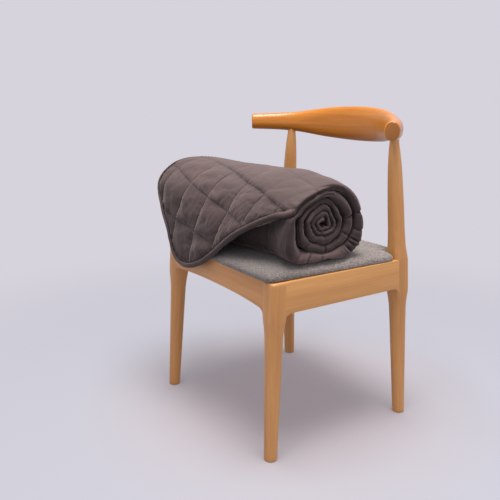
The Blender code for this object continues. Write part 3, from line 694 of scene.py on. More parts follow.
# ----------------------------------------------------------------- chair: rails
def rail(name, start, end, along, outward, end_h, mid_h, flare, steps=60, mat=FRAME_WOOD):
    """A rail with rounded edges; its lower edge turns down into the legs."""
    top = SEAT_RAIL_TOP
    rings, grain = [], []
    soft = 0.0016
    seed = sum(ord(c) for c in name) * 0.013
    for k in range(steps + 1):
        t = k / steps
        a, b = start(0.36), end(0.36)
        length = math.dist(a, b) - 2 * BLOCK
        h = mid_h + (end_h - mid_h) * abs(2 * t - 1)**2.5
        s = min(t, 1 - t) * length
        h += flare * max(1 - s / 0.018, 0.0)**2.2
        ring = []
        corners = ((0.0, 0.0, 180.0), (RAIL_T, 0.0, 90.0), (RAIL_T, h, 0.0), (0.0, h, -90.0))
        pts = []
        for off, drop, ang in corners:
            for i in range(5):
                r = math.radians(ang - 90.0 * i / 4)
                ox = off + soft * (1 if off == 0 else -1)
                dz = drop + soft * (1 if drop == 0 else -1)
                pts.append((ox + soft * math.cos(r) * (1 if True else 1), dz - soft * math.sin(r)))
        for off, drop in pts:
            z = top - drop
            pa, pb = start(z), end(z)
            face = BLOCK - 0.0006 - off
            qa = [pa[i] + along[i] * (BLOCK - 0.009) + outward[i] * face for i in (0, 1)]
            qb = [pb[i] - along[i] * (BLOCK - 0.009) + outward[i] * face for i in (0, 1)]
            p = (qa[0] + (qb[0] - qa[0]) * t, qa[1] + (qb[1] - qa[1]) * t, z)
            ring.append(p)
            grain.append((t * length + seed, drop + seed, off))
        rings.append(ring)
    obj = make_piece(name + "_shaped", *loft(rings), mat, sharp=50, attrs={"grain": grain})
    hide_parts(name)


def front_at(side):
    return lambda z: leg_axis(FRONT_LEG, FRONT_FOOT, side, z)


def back_at(side):
    return lambda z: leg_axis(BACK_LEG, BACK_FOOT, side, z)


# ----------------------------------------------------------------- seat pad
def pad_outline(inset, count=14):
    f, b = PAD_FRONT_Y + inset, PAD_BACK_Y - inset
    hf = PAD_FRONT_HALF - inset
    r = 0.018
    pts = []
    for sx, sy in ((1, -1), (-1, -1)):
        cx, cy = sx * (hf - r), f + r
        arc = []
        for i in range(count):
            a = math.pi / 2 * i / (count - 1)
            arc.append((cx + sx * r * math.sin(a), cy - r * math.cos(a)))
        pts.append(arc if sx > 0 else arc[::-1])
    right, left = pts
    clip_r = [(x - inset, y - inset) for x, y in PAD_NOTCH] + [(PAD_NOTCH[-1][0] - inset, b)]
    clip_l = [(-x, y) for x, y in reversed(clip_r)]
    return right + clip_r + clip_l + left


def resample_loop(pts, count):
    pts = np.array(list(pts) + [pts[0]])
    arc = np.concatenate(([0.0], np.cumsum(np.hypot(*np.diff(pts, axis=0).T))))
    at = np.linspace(0, arc[-1], count, endpoint=False)
    return np.stack([np.interp(at, arc, pts[:, 0]), np.interp(at, arc, pts[:, 1])], 1)


def seat_pad():
    """Upholstery pulled over the pad: rounded shoulders and a shallow crown."""
    base = SEAT_RAIL_TOP + 0.0003
    count = 420
    layers = [(0.0050, base), (0.0016, base + 0.0006), (0.0004, base + 0.0022), (0.0000, 0.4060)]
    for k in range(1, 15):
        a = math.radians(90.0 * k / 15)
        layers.append((0.0300 * (1 - math.cos(a)), 0.4075 + 0.0162 * math.sin(a)))
    for inset, z in ((0.034, 0.4243), (0.042, 0.4250), (0.052, 0.4256), (0.064, 0.4260),
                     (0.080, 0.4263), (0.100, PAD_TOP), (0.120, PAD_TOP)):
        layers.append((inset, z))
    rings = []
    for inset, z in layers:
        ring = resample_loop(pad_outline(inset), count)
        w = ripple(ring[:, 0], ring[:, 1], 0.07, 5) * 0.0004 * ramp(0.404, 0.412, z)
        rings.append([(x, y, z + d) for (x, y), d in zip(ring, w)])
    verts, faces = loft(rings)
    cloth = [(v[0], v[1] + (v[2] - 0.42) * 0.7, v[2]) for v in verts]
    obj = make_piece("seat_upholstery", verts, faces, SEAT, sharp=60, attrs={"cloth": cloth})
    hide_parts("seat_pad")


# ----------------------------------------------------------------- blanket: base surface
STATIONS = np.linspace(ROLL_LEFT, ROLL_RIGHT, 121)
ARCS = np.linspace(-0.060, 0.420, 481)


def flap_profile(x):
    xs = [row[0] for row in FLAP_SECTIONS]
    zr = float(hermite(xs, [row[1] for row in FLAP_SECTIONS], x))
    ys = [float(hermite(xs, [row[2][k] for row in FLAP_SECTIONS], x)) for k in range(len(DEPTHS))]
    knots = [(0.045, zr - 0.0320), (0.010, zr - 0.0095), (RIDGE_Y, zr)]
    knots += [(y, zr - d) for y, d in zip(ys, DEPTHS)]
    y0, z0 = knots[-2]
    y1, z1 = knots[-1]
    knots.append((2 * y1 - y0, 2 * z1 - z0))
    knots = np.array(knots)
    chord = np.concatenate(([0.0], np.cumsum(np.hypot(*np.diff(knots, axis=0).T))))
    fine = np.linspace(0, chord[-1], 401)
    pts = hermite(chord, knots, fine)
    arc = np.concatenate(([0.0], np.cumsum(np.hypot(*np.diff(pts, axis=0).T))))
    arc = arc - np.interp(chord[2], fine, arc)
    # the tail past the last knot goes straight on
    return (np.interp(ARCS, arc, pts[:, 0]), np.interp(ARCS, arc, pts[:, 1]), zr)


FLAP_Y = np.zeros((len(STATIONS), len(ARCS)))
FLAP_Z = np.zeros_like(FLAP_Y)
RIDGE_Z = np.zeros(len(STATIONS))
for _k, _x in enumerate(STATIONS):
    FLAP_Y[_k], FLAP_Z[_k], RIDGE_Z[_k] = flap_profile(_x)

CENTRE_Y = np.zeros(len(STATIONS))
WIND = np.linspace(-0.30, TURNS + 0.15, 2000)         # turns since the top
RADIUS = np.zeros((len(STATIONS), len(WIND)))
JOIN_W = np.zeros(len(STATIONS))
LAYER = np.zeros_like(RADIUS)                         # thickness of each layer
HEM_W = np.zeros(len(STATIONS))                       # turn at which the hem ends


def turn_of(y, z, cy):
    return np.arctan2(y - cy, z - CENTRE_Z) / (2 * math.pi)


def smooth_min(a, b, soft):
    h = np.clip(0.5 + 0.5 * (b - a) / soft, 0, 1)
    return b + (a - b) * h - soft * h * (1 - h)


def build_winding():
    sx = [row[0] for row in ROLL_SECTIONS]
    pitch_w, pitch_t = np.array(PITCH).T
    gap_w, gap_t = np.array(GAP).T
    pitch = hermite(pitch_w, pitch_t, WIND)
    gap_at_end = np.interp(WIND, gap_w, gap_t)
    edge_x, edge_a = np.array(FLAP_OUTLINE)[:11].T
    for k in reversed(range(len(STATIONS))):
        x = STATIONS[k]
        inside = ramp(0.006, 0.034, min(x - ROLL_LEFT, ROLL_RIGHT - x))
        gap = gap_at_end * (1 - 0.94 * inside)          # pressed together away from the ends
        front = float(hermite(sx, [row[1] for row in ROLL_SECTIONS], x))
        back = float(hermite(sx, [row[2] for row in ROLL_SECTIONS], x))
        cy = (front + back) / 2 - 0.0045
        CENTRE_Y[k] = cy
        zr = RIDGE_Z[k]
        # the loose end's outer face, as a radius
        fw = turn_of(FLAP_Y[k], FLAP_Z[k], cy)
        fr = np.hypot(FLAP_Y[k] - cy, FLAP_Z[k] - CENTRE_Z)
        use = (ARCS > -0.034) & (ARCS < 0.26)
        order = np.argsort(fw[use])
        fw_s, fr_s = fw[use][order], fr[use][order]
        JOIN_W[k] = np.interp(JOIN, ARCS, fw)
        hem_arc = float(np.interp(x, edge_x[::-1], edge_a[::-1]))
        hem_w = float(np.interp(min(hem_arc, 0.25), ARCS, fw))
        pts = []
        for arc in (0.045, 0.020, 0.000, -0.015, -0.030):
            pts.append((np.interp(arc, ARCS, FLAP_Y[k]), np.interp(arc, ARCS, FLAP_Z[k])))
        for ky, kz in BACK_SHAPE:
            pts.append((RIDGE_Y + (back - RIDGE_Y) * ky, ROLL_BOTTOM + (zr - ROLL_BOTTOM) * kz))
        for ky, kz in FRONT_SHAPE:
            pts.append((RIDGE_Y + (front - RIDGE_Y) * ky, ROLL_BOTTOM + (zr - ROLL_BOTTOM) * kz))
        # the front shoulder leans back under the loose end
        for ky, kz in ((0.66, 0.86), (0.42, 0.945), (0.20, 0.985)):
            pts.append((RIDGE_Y + (front - RIDGE_Y) * ky, ROLL_BOTTOM + (zr - ROLL_BOTTOM) * kz))
        pts = np.array(pts)
        w = turn_of(pts[:, 0], pts[:, 1], cy)
        w = np.where((w < 0) & (np.arange(len(w)) > 5), w + 1, w)
        r = np.hypot(pts[:, 0] - cy, pts[:, 1] - CENTRE_Z)
        order = np.argsort(w)
        w, r = w[order], r[order]
        keep = np.concatenate(([True], np.diff(w) > 0.004))
        w, r = w[keep], r[keep]
        base = hermite(w, r, np.clip(WIND, w[0], 1.0))
        out = np.where(WIND <= JOIN_W[k], np.interp(WIND, fw_s, fr_s), base)
        if k == len(STATIONS) - 1:
            first_out = None
        # the last part of the first turn lies under the loose end
        under = (WIND > 0.66) & (WIND < 1.0)
        v = WIND[under] - 1.0
        limit = np.interp(v, WIND, out) - np.interp(v, WIND, pitch)
        limit = limit + 0.06 * (1 - ramp(hem_w - 0.075, hem_w + 0.012, v))
        out[under] = smooth_min(base[under], limit, 0.010)
        out[under] = np.minimum(out[under], limit)
        if first_out is None:
            first_out = out.copy()
        share = np.clip(out / first_out, 0.75, 1.45)
        for turn in range(1, int(TURNS) + 2):
            here = (WIND >= turn) & (WIND < turn + 1)
            v = WIND[here] - 1.0
            share[here] = np.interp(v, WIND, share)
            out[here] = np.interp(v, WIND, out) - np.interp(v, WIND, pitch * share)
        # stiff cloth can't follow sharp corners, so the inner turns are rounder
        spread = 0.045
        near = sum(np.interp(WIND + spread * o, WIND, out) * g
                   for o, g in ((-2, 0.06), (-1, 0.24), (0, 0.40), (1, 0.24), (2, 0.06)))
        cut = np.clip(out - near, 0.0, 0.004) * ramp(1.00, 1.16, WIND) * (1 - ramp(4.4, 4.7, WIND))
        for turn in range(2, int(TURNS) + 2):
            here = (WIND >= turn) & (WIND < turn + 1)
            cut[here] = np.maximum(cut[here], np.interp(WIND[here] - 1.0, WIND, cut))
        RADIUS[k] = np.maximum(out - cut, 0.0012)
        LAYER[k] = np.minimum(pitch * share - gap, np.maximum(RADIUS[k] * 0.93, 0.0008))
        last = (WIND > TURNS - 1) * inside
        LAYER[k] = LAYER[k] + (RADIUS[k] * 0.985 - LAYER[k]) * last
        HEM_W[k] = hem_w


build_winding()


def sample(table, x, v, grid):
    """Bilinear look-up in a table of STATIONS by an even grid."""
    fx = np.clip((x - STATIONS[0]) / (STATIONS[1] - STATIONS[0]), 0, len(STATIONS) - 1.0001)
    fv = np.clip((v - grid[0]) / (grid[1] - grid[0]), 0, len(grid) - 1.0001)
    i, j = fx.astype(int), fv.astype(int)
    a, b = fx - i, fv - j
    return ((table[i, j] * (1 - b) + table[i, j + 1] * b) * (1 - a)
            + (table[i + 1, j] * (1 - b) + table[i + 1, j + 1] * b) * a)


def along_x(row, x):
    return np.interp(x, STATIONS, row)


def flap_base(x, arc):
    return np.stack([x, sample(FLAP_Y, x, arc, ARCS), sample(FLAP_Z, x, arc, ARCS)], -1)


def wound_base(x, w):
    r = sample(RADIUS, x, w, WIND)
    a = 2 * math.pi * w
    return np.stack([x, along_x(CENTRE_Y, x) + r * np.sin(a), CENTRE_Z + r * np.cos(a)], -1)


# arc length round the winding, measured on the middle station
_mid = np.full(len(WIND), 0.0)
_line = wound_base(_mid, WIND)[:, 1:]
_len = np.concatenate(([0.0], np.cumsum(np.hypot(*np.diff(_line, axis=0).T))))
_w_join = float(along_x(JOIN_W, 0.0))
WOUND_ARC = _len - np.interp(_w_join, WIND, _len)     # 0 where the winding starts


def turn_at(length):
    return np.interp(length, WOUND_ARC, WIND)


# ----------------------------------------------------------------- blanket: sheet places
def outline_curve(samples):
    knots = np.array(FLAP_OUTLINE)
    chord = np.concatenate(([0.0], np.cumsum(np.hypot(*np.diff(knots, axis=0).T))))
    fine = hermite(chord, knots, np.linspace(0, chord[-1], 1200))
    arc = np.concatenate(([0.0], np.cumsum(np.hypot(*np.diff(fine, axis=0).T))))
    at = samples * arc[-1]
    return np.stack([np.interp(at, arc, fine[:, 0]), np.interp(at, arc, fine[:, 1])], 1), arc[-1]


EDGE_LINE, EDGE_LENGTH = outline_curve(np.linspace(0, 1, 300))
_up = np.stack([np.full(30, EDGE_LINE[-1, 0]), np.linspace(EDGE_LINE[-1, 1] - 0.004, JOIN - 0.03, 30)], 1)
_up[:, 0] = np.linspace(EDGE_LINE[-1, 0], ROLL_LEFT, 30)
BOUNDARY = np.concatenate([EDGE_LINE, _up])
BOUNDARY_ARC = np.concatenate(([0.0], np.cumsum(np.hypot(*np.diff(BOUNDARY, axis=0).T))))


def hem_width(along):
    """Share of the tape's width: it rolls out of sight at the top of the left edge."""
    arc = np.interp(along, BOUNDARY_ARC, BOUNDARY[:, 1])
    late = along > 0.6 * BOUNDARY_ARC[-1]
    return 0.88 - (0.38 * (1 - ramp(0.200, 0.345, arc)) + 0.30 * (1 - ramp(0.120, 0.190, arc))) * late


def edge_distance(x, arc):
    """Distance on the sheet to the hem and left edge, and the place along it."""
    shape = x.shape
    p = np.stack([x.ravel(), arc.ravel()], 1)
    a, b = BOUNDARY[:-1], BOUNDARY[1:]
    ab = b - a
    best = np.full(len(p), 9.0)
    where = np.zeros(len(p))
    for k in range(len(a)):
        t = np.clip(((p - a[k]) @ ab[k]) / (ab[k] @ ab[k]), 0, 1)
        d = np.hypot(*(p - a[k] - t[:, None] * ab[k]).T)
        near = d < best
        best[near] = d[near]
        where[near] = BOUNDARY_ARC[k] + t[near] * (BOUNDARY_ARC[k + 1] - BOUNDARY_ARC[k])
    return best.reshape(shape), where.reshape(shape)


SEAM_NODES = (
    # i, j, x, arc: crossings of the seams on the loose end
    (-1, 0, -0.242, 0.139), (0, 0, -0.142, 0.163), (1, 0, -0.060, 0.179),
    (2, 0, 0.025, 0.191), (3, 0, 0.092, 0.207), (-1, 1, -0.235, 0.254),
    (0, 1, -0.156, 0.265), (1, 1, -0.075, 0.269), (2, 1, 0.002, 0.277),
    (0, 2, -0.175, 0.345), (1, 2, -0.088, 0.351), (1, -1, -0.051, 0.083),
    (2, -1, 0.031, 0.105), (3, -1, 0.112, 0.122), (4, -1, 0.179, 0.135),
    (3, -2, 0.148, 0.041), (4, -2, 0.213, 0.047),
)


def thin_plate(p, q):
    r2 = ((p[:, None, :] - q[None, :, :])**2).sum(-1)
    return 0.5 * r2 * np.log(np.maximum(r2, 1e-12))


def fit_seams():
    """Smooth functions of x and arc through the crossings; even squares further on."""
    rows = np.array(SEAM_NODES, float)
    p, ij = rows[:, 2:], rows[:, :2]
    plane = np.linalg.lstsq(np.column_stack([np.ones(len(p)), p]), ij, rcond=None)[0]
    far = np.array([(x, t) for t in (-0.12, -0.30, -0.55, -0.90, -1.40)
                    for x in (-0.272, -0.030, 0.218)])
    p_all = np.concatenate([p, far])
    ij_all = np.concatenate([ij, np.column_stack([np.ones(len(far)), far]) @ plane])
    n = len(p_all)
    side = np.column_stack([np.ones(n), p_all])
    whole = np.zeros((n + 3, n + 3))
    whole[:n, :n] = thin_plate(p_all, p_all) + 2e-5 * np.eye(n)
    whole[:n, n:] = side
    whole[n:, :n] = side.T
    return p_all, np.linalg.solve(whole, np.concatenate([ij_all, np.zeros((3, 2))]))


SEAM_P, SEAM_W = fit_seams()


def quilt(x, arc):
    """Quilted squares counted along the two families of seams."""
    p = np.stack([np.ravel(x), np.ravel(arc)], 1)
    out = np.zeros((len(p), 2))
    for k in range(0, len(p), 20000):
        q = p[k:k + 20000]
        out[k:k + 20000] = (thin_plate(q, SEAM_P) @ SEAM_W[:-3]
                            + np.column_stack([np.ones(len(q)), q]) @ SEAM_W[-3:])
    return out[:, 0].reshape(np.shape(x)), out[:, 1].reshape(np.shape(x))


CREASES = (
    # soft creases on the loose end: x and arc of both ends, depth, width
    (-0.1147, 0.2030, -0.0986, 0.2170, 0.0022, 0.0035), (-0.1427, 0.2410, -0.1027, 0.2500, 0.0013, 0.0045),
    (-0.1307, 0.2170, -0.1087, 0.2300, 0.0012, 0.0035), (0.0476, 0.1230, 0.0456, 0.1420, 0.0020, 0.0030),
    (0.1038, 0.1300, 0.1198, 0.1400, 0.0016, 0.0030), (0.0857, 0.1490, 0.1058, 0.1590, 0.0012, 0.0030),
    (0.1298, 0.1540, 0.1438, 0.1650, 0.0022, 0.0032), (0.1418, 0.1520, 0.1579, 0.1570, 0.0020, 0.0030),
    (0.1579, 0.1480, 0.1779, 0.1530, 0.0016, 0.0030), (0.0937, 0.1900, 0.1058, 0.2000, 0.0014, 0.0030),
    (-0.0165, 0.1830, 0.0176, 0.1890, 0.0010, 0.0040), (-0.0405, 0.2270, -0.0245, 0.2510, 0.0012, 0.0040),
    (-0.0385, 0.1870, -0.0165, 0.1950, 0.0012, 0.0030), (-0.1568, 0.1430, -0.1668, 0.1200, 0.0014, 0.0035),
    (-0.0986, 0.1570, -0.0686, 0.1660, 0.0012, 0.0030), (-0.0806, 0.0920, -0.0626, 0.1550, 0.0010, 0.0060),
    (0.1478, 0.0480, 0.2100, 0.0500, 0.0013, 0.0050), (0.1138, 0.1130, 0.1859, 0.0720, 0.0010, 0.0060),
    (0.2080, 0.0910, 0.2160, 0.0620, 0.0014, 0.0050), (-0.0285, 0.1050, 0.0056, 0.1130, 0.0010, 0.0030),
    (-0.1227, 0.3090, -0.1006, 0.3310, 0.0012, 0.0035), (-0.0445, 0.2810, -0.0125, 0.2870, 0.0010, 0.0035),
)
_cells = np.random.default_rng(404).uniform(-1, 1, (3, 64, 64))


def relief(x, arc, depth, fade_edge):
    """How far the outer face sinks below its puffed height, in metres."""
    i, j = quilt(x, arc)
    fi, fj = i % 1.0, j % 1.0
    di = np.abs((i + 0.5) % 1.0 - 0.5) * CELL
    dj = np.abs((j + 0.5) % 1.0 - 0.5) * CELL
    # the filling lies low in each square
    si, sj = np.sin(math.pi * fi), np.sin(math.pi * fj**1.22)
    a, b = np.floor(i).astype(int) % 64, np.floor(j).astype(int) % 64
    full = 1 + 0.16 * _cells[0, a, b] + 0.30 * _cells[1, a, b] * (fi - 0.5) \
        + 0.30 * _cells[2, a, b] * (fj - 0.5)
    puff = np.maximum(si * sj, 1e-6)**0.50 * np.minimum(full, 1.12)
    sink = depth * (1 - puff * fade_edge)
    # puckers run square to the stitching and die out into the squares
    strong = np.clip(0.45 + 0.9 * ripple(i, j, 0.55, 13), 0.0, 1.6)
    wrinkle = (np.sin(2 * math.pi * j * CELL / 0.0165 + 2.6 * ripple(i, j, 0.9, 11)) * np.exp(-di / 0.0095)
               + np.sin(2 * math.pi * i * CELL / 0.0175 + 2.6 * ripple(i, j, 0.8, 12)) * np.exp(-dj / 0.0095))
    scale = depth / 0.0065
    sink = sink - 0.0013 * strong * wrinkle * ramp(0.0, 0.005, np.minimum(di, dj)) * scale
    lines = ripple(x * 0.9 + arc * 0.45, (arc - 0.5 * x) * 0.40, 0.030, 23)
    sink = sink + 0.0012 * np.exp(-(lines / 0.20)**2) * scale * puff
    sink = sink - 0.0009 * ripple(x, arc, 0.045, 21) * scale
    return sink, i, j


def creases(x, arc):
    out = np.zeros(np.shape(x))
    for x0, a0, x1, a1, depth, width in CREASES:
        dx, da = x1 - x0, a1 - a0
        length = math.hypot(dx, da)
        t = ((x - x0) * dx + (arc - a0) * da) / length**2
        d = np.abs((x - x0) * da - (arc - a0) * dx) / length
        out = out + depth * np.exp(-(d / width)**2) * np.exp(-np.abs(t - 0.5)**3 / 0.5**3 * 1.2)
    return out


# ----------------------------------------------------------------- blanket: mesh
def blanket():
    n_out, n_cap, n_in = 139, 13, 30
    # loop round the folded sheet: share from right to left, side, cap angle
    q_out = np.linspace(0, 1, n_out)
    cap = np.radians(np.linspace(0, 180, n_cap + 2)[1:-1])
    s = np.linspace(0, 1, n_in)
    q_in = s - 0.10 * np.sin(2 * math.pi * s) / (2 * math.pi) * 2
    share = np.concatenate([q_out, np.ones(n_cap), q_in[::-1], np.zeros(n_cap)])
    phi = np.concatenate([np.zeros(n_out), cap, np.full(n_in, math.pi), cap[::-1]])
    end = np.concatenate([np.zeros(n_out), np.full(n_cap, 1), np.zeros(n_in), np.full(n_cap, -1)])
    m = len(share)

    # rows: the loose end, then the winding
    edge_rows = [0.0, 0.0008, 0.0020, 0.0036, 0.0056, 0.0080, 0.0105, 0.0130]
    inner_rows = 100
    flap_rows = len(edge_rows) + inner_rows

    def outline_q(q, inset):
        line, length = outline_curve(q)
        fine, _ = outline_curve(np.linspace(0, 1, 600))
        tan = np.gradient(fine, axis=0)
        tan = unit(tan)
        nrm = np.stack([tan[:, 1], -tan[:, 0]], 1)
        centre = np.array([-0.05, 0.12])
        if np.sum((centre - fine[200]) * nrm[200]) < 0:
            nrm = -nrm
        kk = np.linspace(0, 1, 600)
        n = np.stack([np.interp(q, kk, nrm[:, 0]), np.interp(q, kk, nrm[:, 1])], 1)
        n[:, 0] *= ramp(0.0, 0.02, q)
        n = unit(n)
        amount = inset * (1 - 0.75 * ramp(0.86, 1.0, q))
        moved = line + n * np.asarray(amount)[:, None]
        moved[:, 0] = np.minimum(moved[:, 0], ROLL_RIGHT)
        return moved, length

    rows_x, rows_arc, rows_len = [], [], []
    # columns keep the roll's end rounding: h is the rounding depth
    def loop_q(row_len, half):
        base = half / row_len
        q = base + share * (1 - 2 * base)
        q = np.where(end == 1, 1 - base + base * np.sin(phi), q)
        q = np.where(end == -1, base - base * np.sin(phi), q)
        return q

    for inset in edge_rows:
        q = loop_q(EDGE_LENGTH, 0.0055)
        pts, _ = outline_q(q, inset)
        rows_x.append(pts[:, 0])
        rows_arc.append(pts[:, 1])
    last_pts = np.stack([rows_x[-1], rows_arc[-1]], 1)
    for r in range(1, inner_rows + 1):
        t = r / inner_rows
        q = loop_q(EDGE_LENGTH * (1 - t) + 0.49 * t, 0.0055 + 0.003 * t)
        pts, _ = outline_q(q, edge_rows[-1])
        top_x = ROLL_RIGHT + (ROLL_LEFT - ROLL_RIGHT) * q
        rows_x.append(pts[:, 0] + (top_x - pts[:, 0]) * t)
        rows_arc.append(pts[:, 1] + (JOIN - pts[:, 1]) * t)
    fx, fa = np.array(rows_x), np.array(rows_arc)
    flap_pts = flap_base(fx, fa)

    # winding rows
    total_len = float(np.interp(TURNS, WIND, WOUND_ARC))
    fine = np.linspace(0, total_len, 6000)
    steps = np.interp(turn_at(fine), [r[0] for r in ROW_STEP], [r[1] for r in ROW_STEP])
    count = np.concatenate(([0.0], np.cumsum(np.diff(fine) / (steps[1:] + steps[:-1]) * 2)))
    lengths = np.interp(np.linspace(0, count[-1], int(count[-1]) + 1)[1:], count, fine)
    turns = turn_at(lengths)
    half = np.interp(turns, [0.08, 0.2, 0.34, 0.5, 0.63, 0.70, 0.80, 0.90, 1.0, 1.25, 1.5, 2.2, 3.0, 4.9],
                     [0.0088, 0.0115, 0.0130, 0.0070, 0.0150, 0.0200, 0.0200, 0.0130, 0.0075, 0.0125, 0.0095,
                      0.0095, 0.0075, 0.0050])
    wx = np.zeros((len(turns), m))
    for r in range(len(turns)):
        q = loop_q(0.49, half[r])
        wx[r] = ROLL_RIGHT + (ROLL_LEFT - ROLL_RIGHT) * q
    shift = along_x(JOIN_W, wx) - _w_join
    ww = turns[:, None] + shift * (1 - ramp(0.0, 0.25, turns - _w_join))[:, None]
    wound_pts = wound_base(wx, ww)
    wa = JOIN - np.repeat(lengths[:, None], m, axis=1)

    base = np.concatenate([flap_pts, wound_pts])
    X = np.concatenate([fx, wx])
    A = np.concatenate([fa, wa])
    W = np.concatenate([np.full(fx.shape, -1.0), ww])
    is_flap = np.concatenate([np.ones(fx.shape, bool), np.zeros(wx.shape, bool)])

    # inward direction, from a smooth finite difference on the base surface
    step = 0.004

    def place(x, arc):
        out = flap_base(x, arc)
        deep = arc < JOIN
        w = turn_at(JOIN - arc)
        w = w + (along_x(JOIN_W, x) - _w_join) * (1 - ramp(0.0, 0.25, w - _w_join))
        out2 = wound_base(x, w)
        return np.where(deep[..., None], out2, out)

    xc = np.clip(X, ROLL_LEFT + 0.012, ROLL_RIGHT - 0.012)
    ex = place(xc + step, A) - place(xc - step, A)
    es = place(xc, A + step) - place(xc, A - step)
    nrm = unit(np.cross(es, ex))
    inward = -nrm

    # thickness; wound layers are measured along the radius
    t_join = sample(LAYER, np.clip(X, ROLL_LEFT, ROLL_RIGHT), along_x(JOIN_W, X), WIND)
    t_flap = FLAP_T + (t_join - FLAP_T) * ramp(0.055, JOIN, A)
    t_wound = sample(LAYER, X, np.maximum(W, WIND[0]), WIND)
    thick = np.where(is_flap, t_flap, t_wound)
    radial = np.stack([np.zeros_like(W), -np.sin(2 * math.pi * W), -np.cos(2 * math.pi * W)], -1)
    lean = (ramp(0.0, 0.10, W - along_x(JOIN_W, X)) * ~is_flap)[..., None]
    inward = unit(inward * (1 - lean) + radial * lean)

    dist, where = edge_distance(fx, fa)
    dist = dist / hem_width(where)
    dist_all = np.concatenate([dist, np.full(wx.shape, 1.0)])
    where_all = np.concatenate([where, np.zeros(wx.shape)])

    # share of the thickness, 0 outer face, 1 inner face
    f_cap = (1 - np.cos(phi)) / 2
    h_edge = 0.0065
    e = np.clip(dist_all / h_edge, 0, 1)
    f_out = 0.5 * (1 - np.sqrt(np.clip(1 - (1 - e)**2, 0, 1)))
    f_out = np.minimum(f_out, 0.40)
    f = np.clip(np.broadcast_to(f_cap, X.shape), f_out, 1 - f_out)

    # relief of the outer face: flatter on the top right and on the front of the roll
    face = np.cos(np.broadcast_to(phi, X.shape))
    _, row_j = quilt(X, A)
    smooth_area = ramp(0.94, 1.12, -row_j) * ramp(-0.12, -0.03, A) * (W < 0.20)
    turn = np.where(is_flap, -1.0, W)
    front_area = ramp(0.50, 0.58, turn) * (1 - ramp(1.0, 1.04, turn))
    corner_area = ramp(0.090, 0.200, -X) * ramp(-0.158, -0.090, -A) * (W < 0.20)
    depth = 0.0066 * (1 - 0.74 * smooth_area) * (1 - 0.62 * front_area) * (1 - 0.45 * corner_area)
    depth = depth * np.where(W > 1.03, 0.22, 1.0)
    flat_back = 0.0022 * np.exp(-((turn - 0.27) / 0.06)**2) * ramp(0.10, 0.20, X)
    fade = 1 - np.exp(-np.clip(dist_all - 0.0095, 0, None) / 0.008)
    fade = np.where(dist_all < 0.0095, 0.0, fade)
    sink, qi, qj = relief(X, A, depth, np.clip(fade, 0, 1))
    sink = sink + creases(X, A) * is_flap
    # the bound edge stands a little above the seam beside it
    hem = np.exp(-((dist_all - 0.0108) / 0.0018)**2) * 0.0010
    sink = np.where(dist_all < 0.0095, depth * 0.30, sink) + hem
    # puckers beside the binding
    beside = np.exp(-((dist_all - 0.017) / 0.0080)**2) * np.clip(0.55 + ripple(where_all, where_all * 0, 0.09, 33), 0.1, 1.5)
    sink = sink - 0.0015 * beside * np.sin(2 * math.pi * where_all / 0.0135
                                           + 1.8 * ripple(where_all, dist_all, 0.05, 31))
    sink = sink * np.clip(face, 0, 1) + flat_back

    # tucks where seams meet the folded ends, and where the layer bends tightly
    near_i = np.abs((qi + 0.5) % 1.0 - 0.5) * CELL
    near_j = np.abs((qj + 0.5) % 1.0 - 0.5) * CELL
    pinch = np.clip(np.exp(-(near_i / 0.0046)**2) + np.exp(-(near_j / 0.0046)**2), 0, 1)
    end_side = np.broadcast_to(end, X.shape)
    right_side = (X > 0) & ~is_flap
    pinch = pinch * np.where(right_side, 0.07, np.where(is_flap, 0.35, 0.8))
    tuck = np.zeros(X.shape)
    for at_turn, deep, wide in TUCKS:
        tuck = np.maximum(tuck, deep / 0.0060 * np.exp(-((turn - at_turn) / wide)**2))
    tuck = np.where(right_side, tuck, 0.0)
    seam_pinch = pinch
    pinch = np.clip(pinch + tuck, 0, 1.1)
    bend = np.exp(-((turn - 0.345) / 0.045)**2) + 0.7 * np.exp(-((turn - 0.615) / 0.045)**2)
    tight = bend * (0.5 + 0.5 * np.sin(2 * math.pi * A / 0.0125 + 1.5 * ripple(A, X * 0, 0.05, 41)))**2
    to_end = np.clip(np.minimum(ROLL_RIGHT - X, X - ROLL_LEFT), 0, None)
    sink = sink + (0.0018 * tight * np.exp(-to_end / 0.030)
                   + 0.0034 * seam_pinch * np.exp(-to_end / 0.016)
                   + 0.0016 * tuck * np.exp(-to_end / 0.008)) * np.clip(face, 0, 1)

    arch = np.where(np.abs(end_side) > 0, np.sin(np.broadcast_to(phi, X.shape)), 0.0)
    f = 0.5 + (f - 0.5) * (1 - (0.36 * pinch + 0.12 * tight) * arch)
    retreat = arch * (0.0058 * seam_pinch + 0.0100 * tuck * arch**2 + 0.0020 * tight + 0.0012 * (1 + ripple(A, X * 0 + 0.3, 0.11, 51)))
    # thin layers show both of their sheets, with a groove between
    both = ramp(0.79, 0.84, turn) * (1 - ramp(1.02, 1.08, turn)) \
        + ramp(1.83, 1.88, turn) * (1 - ramp(2.06, 2.12, turn)) \
        + np.where(is_flap, ramp(0.125, 0.105, A), 0.0) + np.where(is_flap, 0.0, 1 - ramp(0.04, 0.09, turn))
    both = np.clip(both, 0, 1) * np.where(is_flap & (X < 0), 0.0, 1.0)
    retreat = retreat + 0.0036 * both * arch * np.exp(-((np.broadcast_to(phi, X.shape) - math.pi / 2) / 0.30)**2)
    # each turn ends a little differently
    stagger = np.where(is_flap, 0.0, 0.0030 * np.abs(ripple(A, X * 0, 0.30, 61)) + 0.0022 * ramp(1.0, 1.3, turn))
    foot = ramp(0.36, 0.44, turn) * (1 - ramp(0.60, 0.66, turn)) * right_side
    depth_x = np.concatenate([np.zeros(flap_rows), half])[:, None]
    beside_end = np.where(np.abs(end_side) > 0, 1.0, 1 - ramp(0.0, 0.040, to_end - depth_x))
    to_middle = np.where(X < 0, 1.0, -1.0)
    move_x = retreat * end_side + (stagger * to_middle + 0.0045 * foot) * beside_end

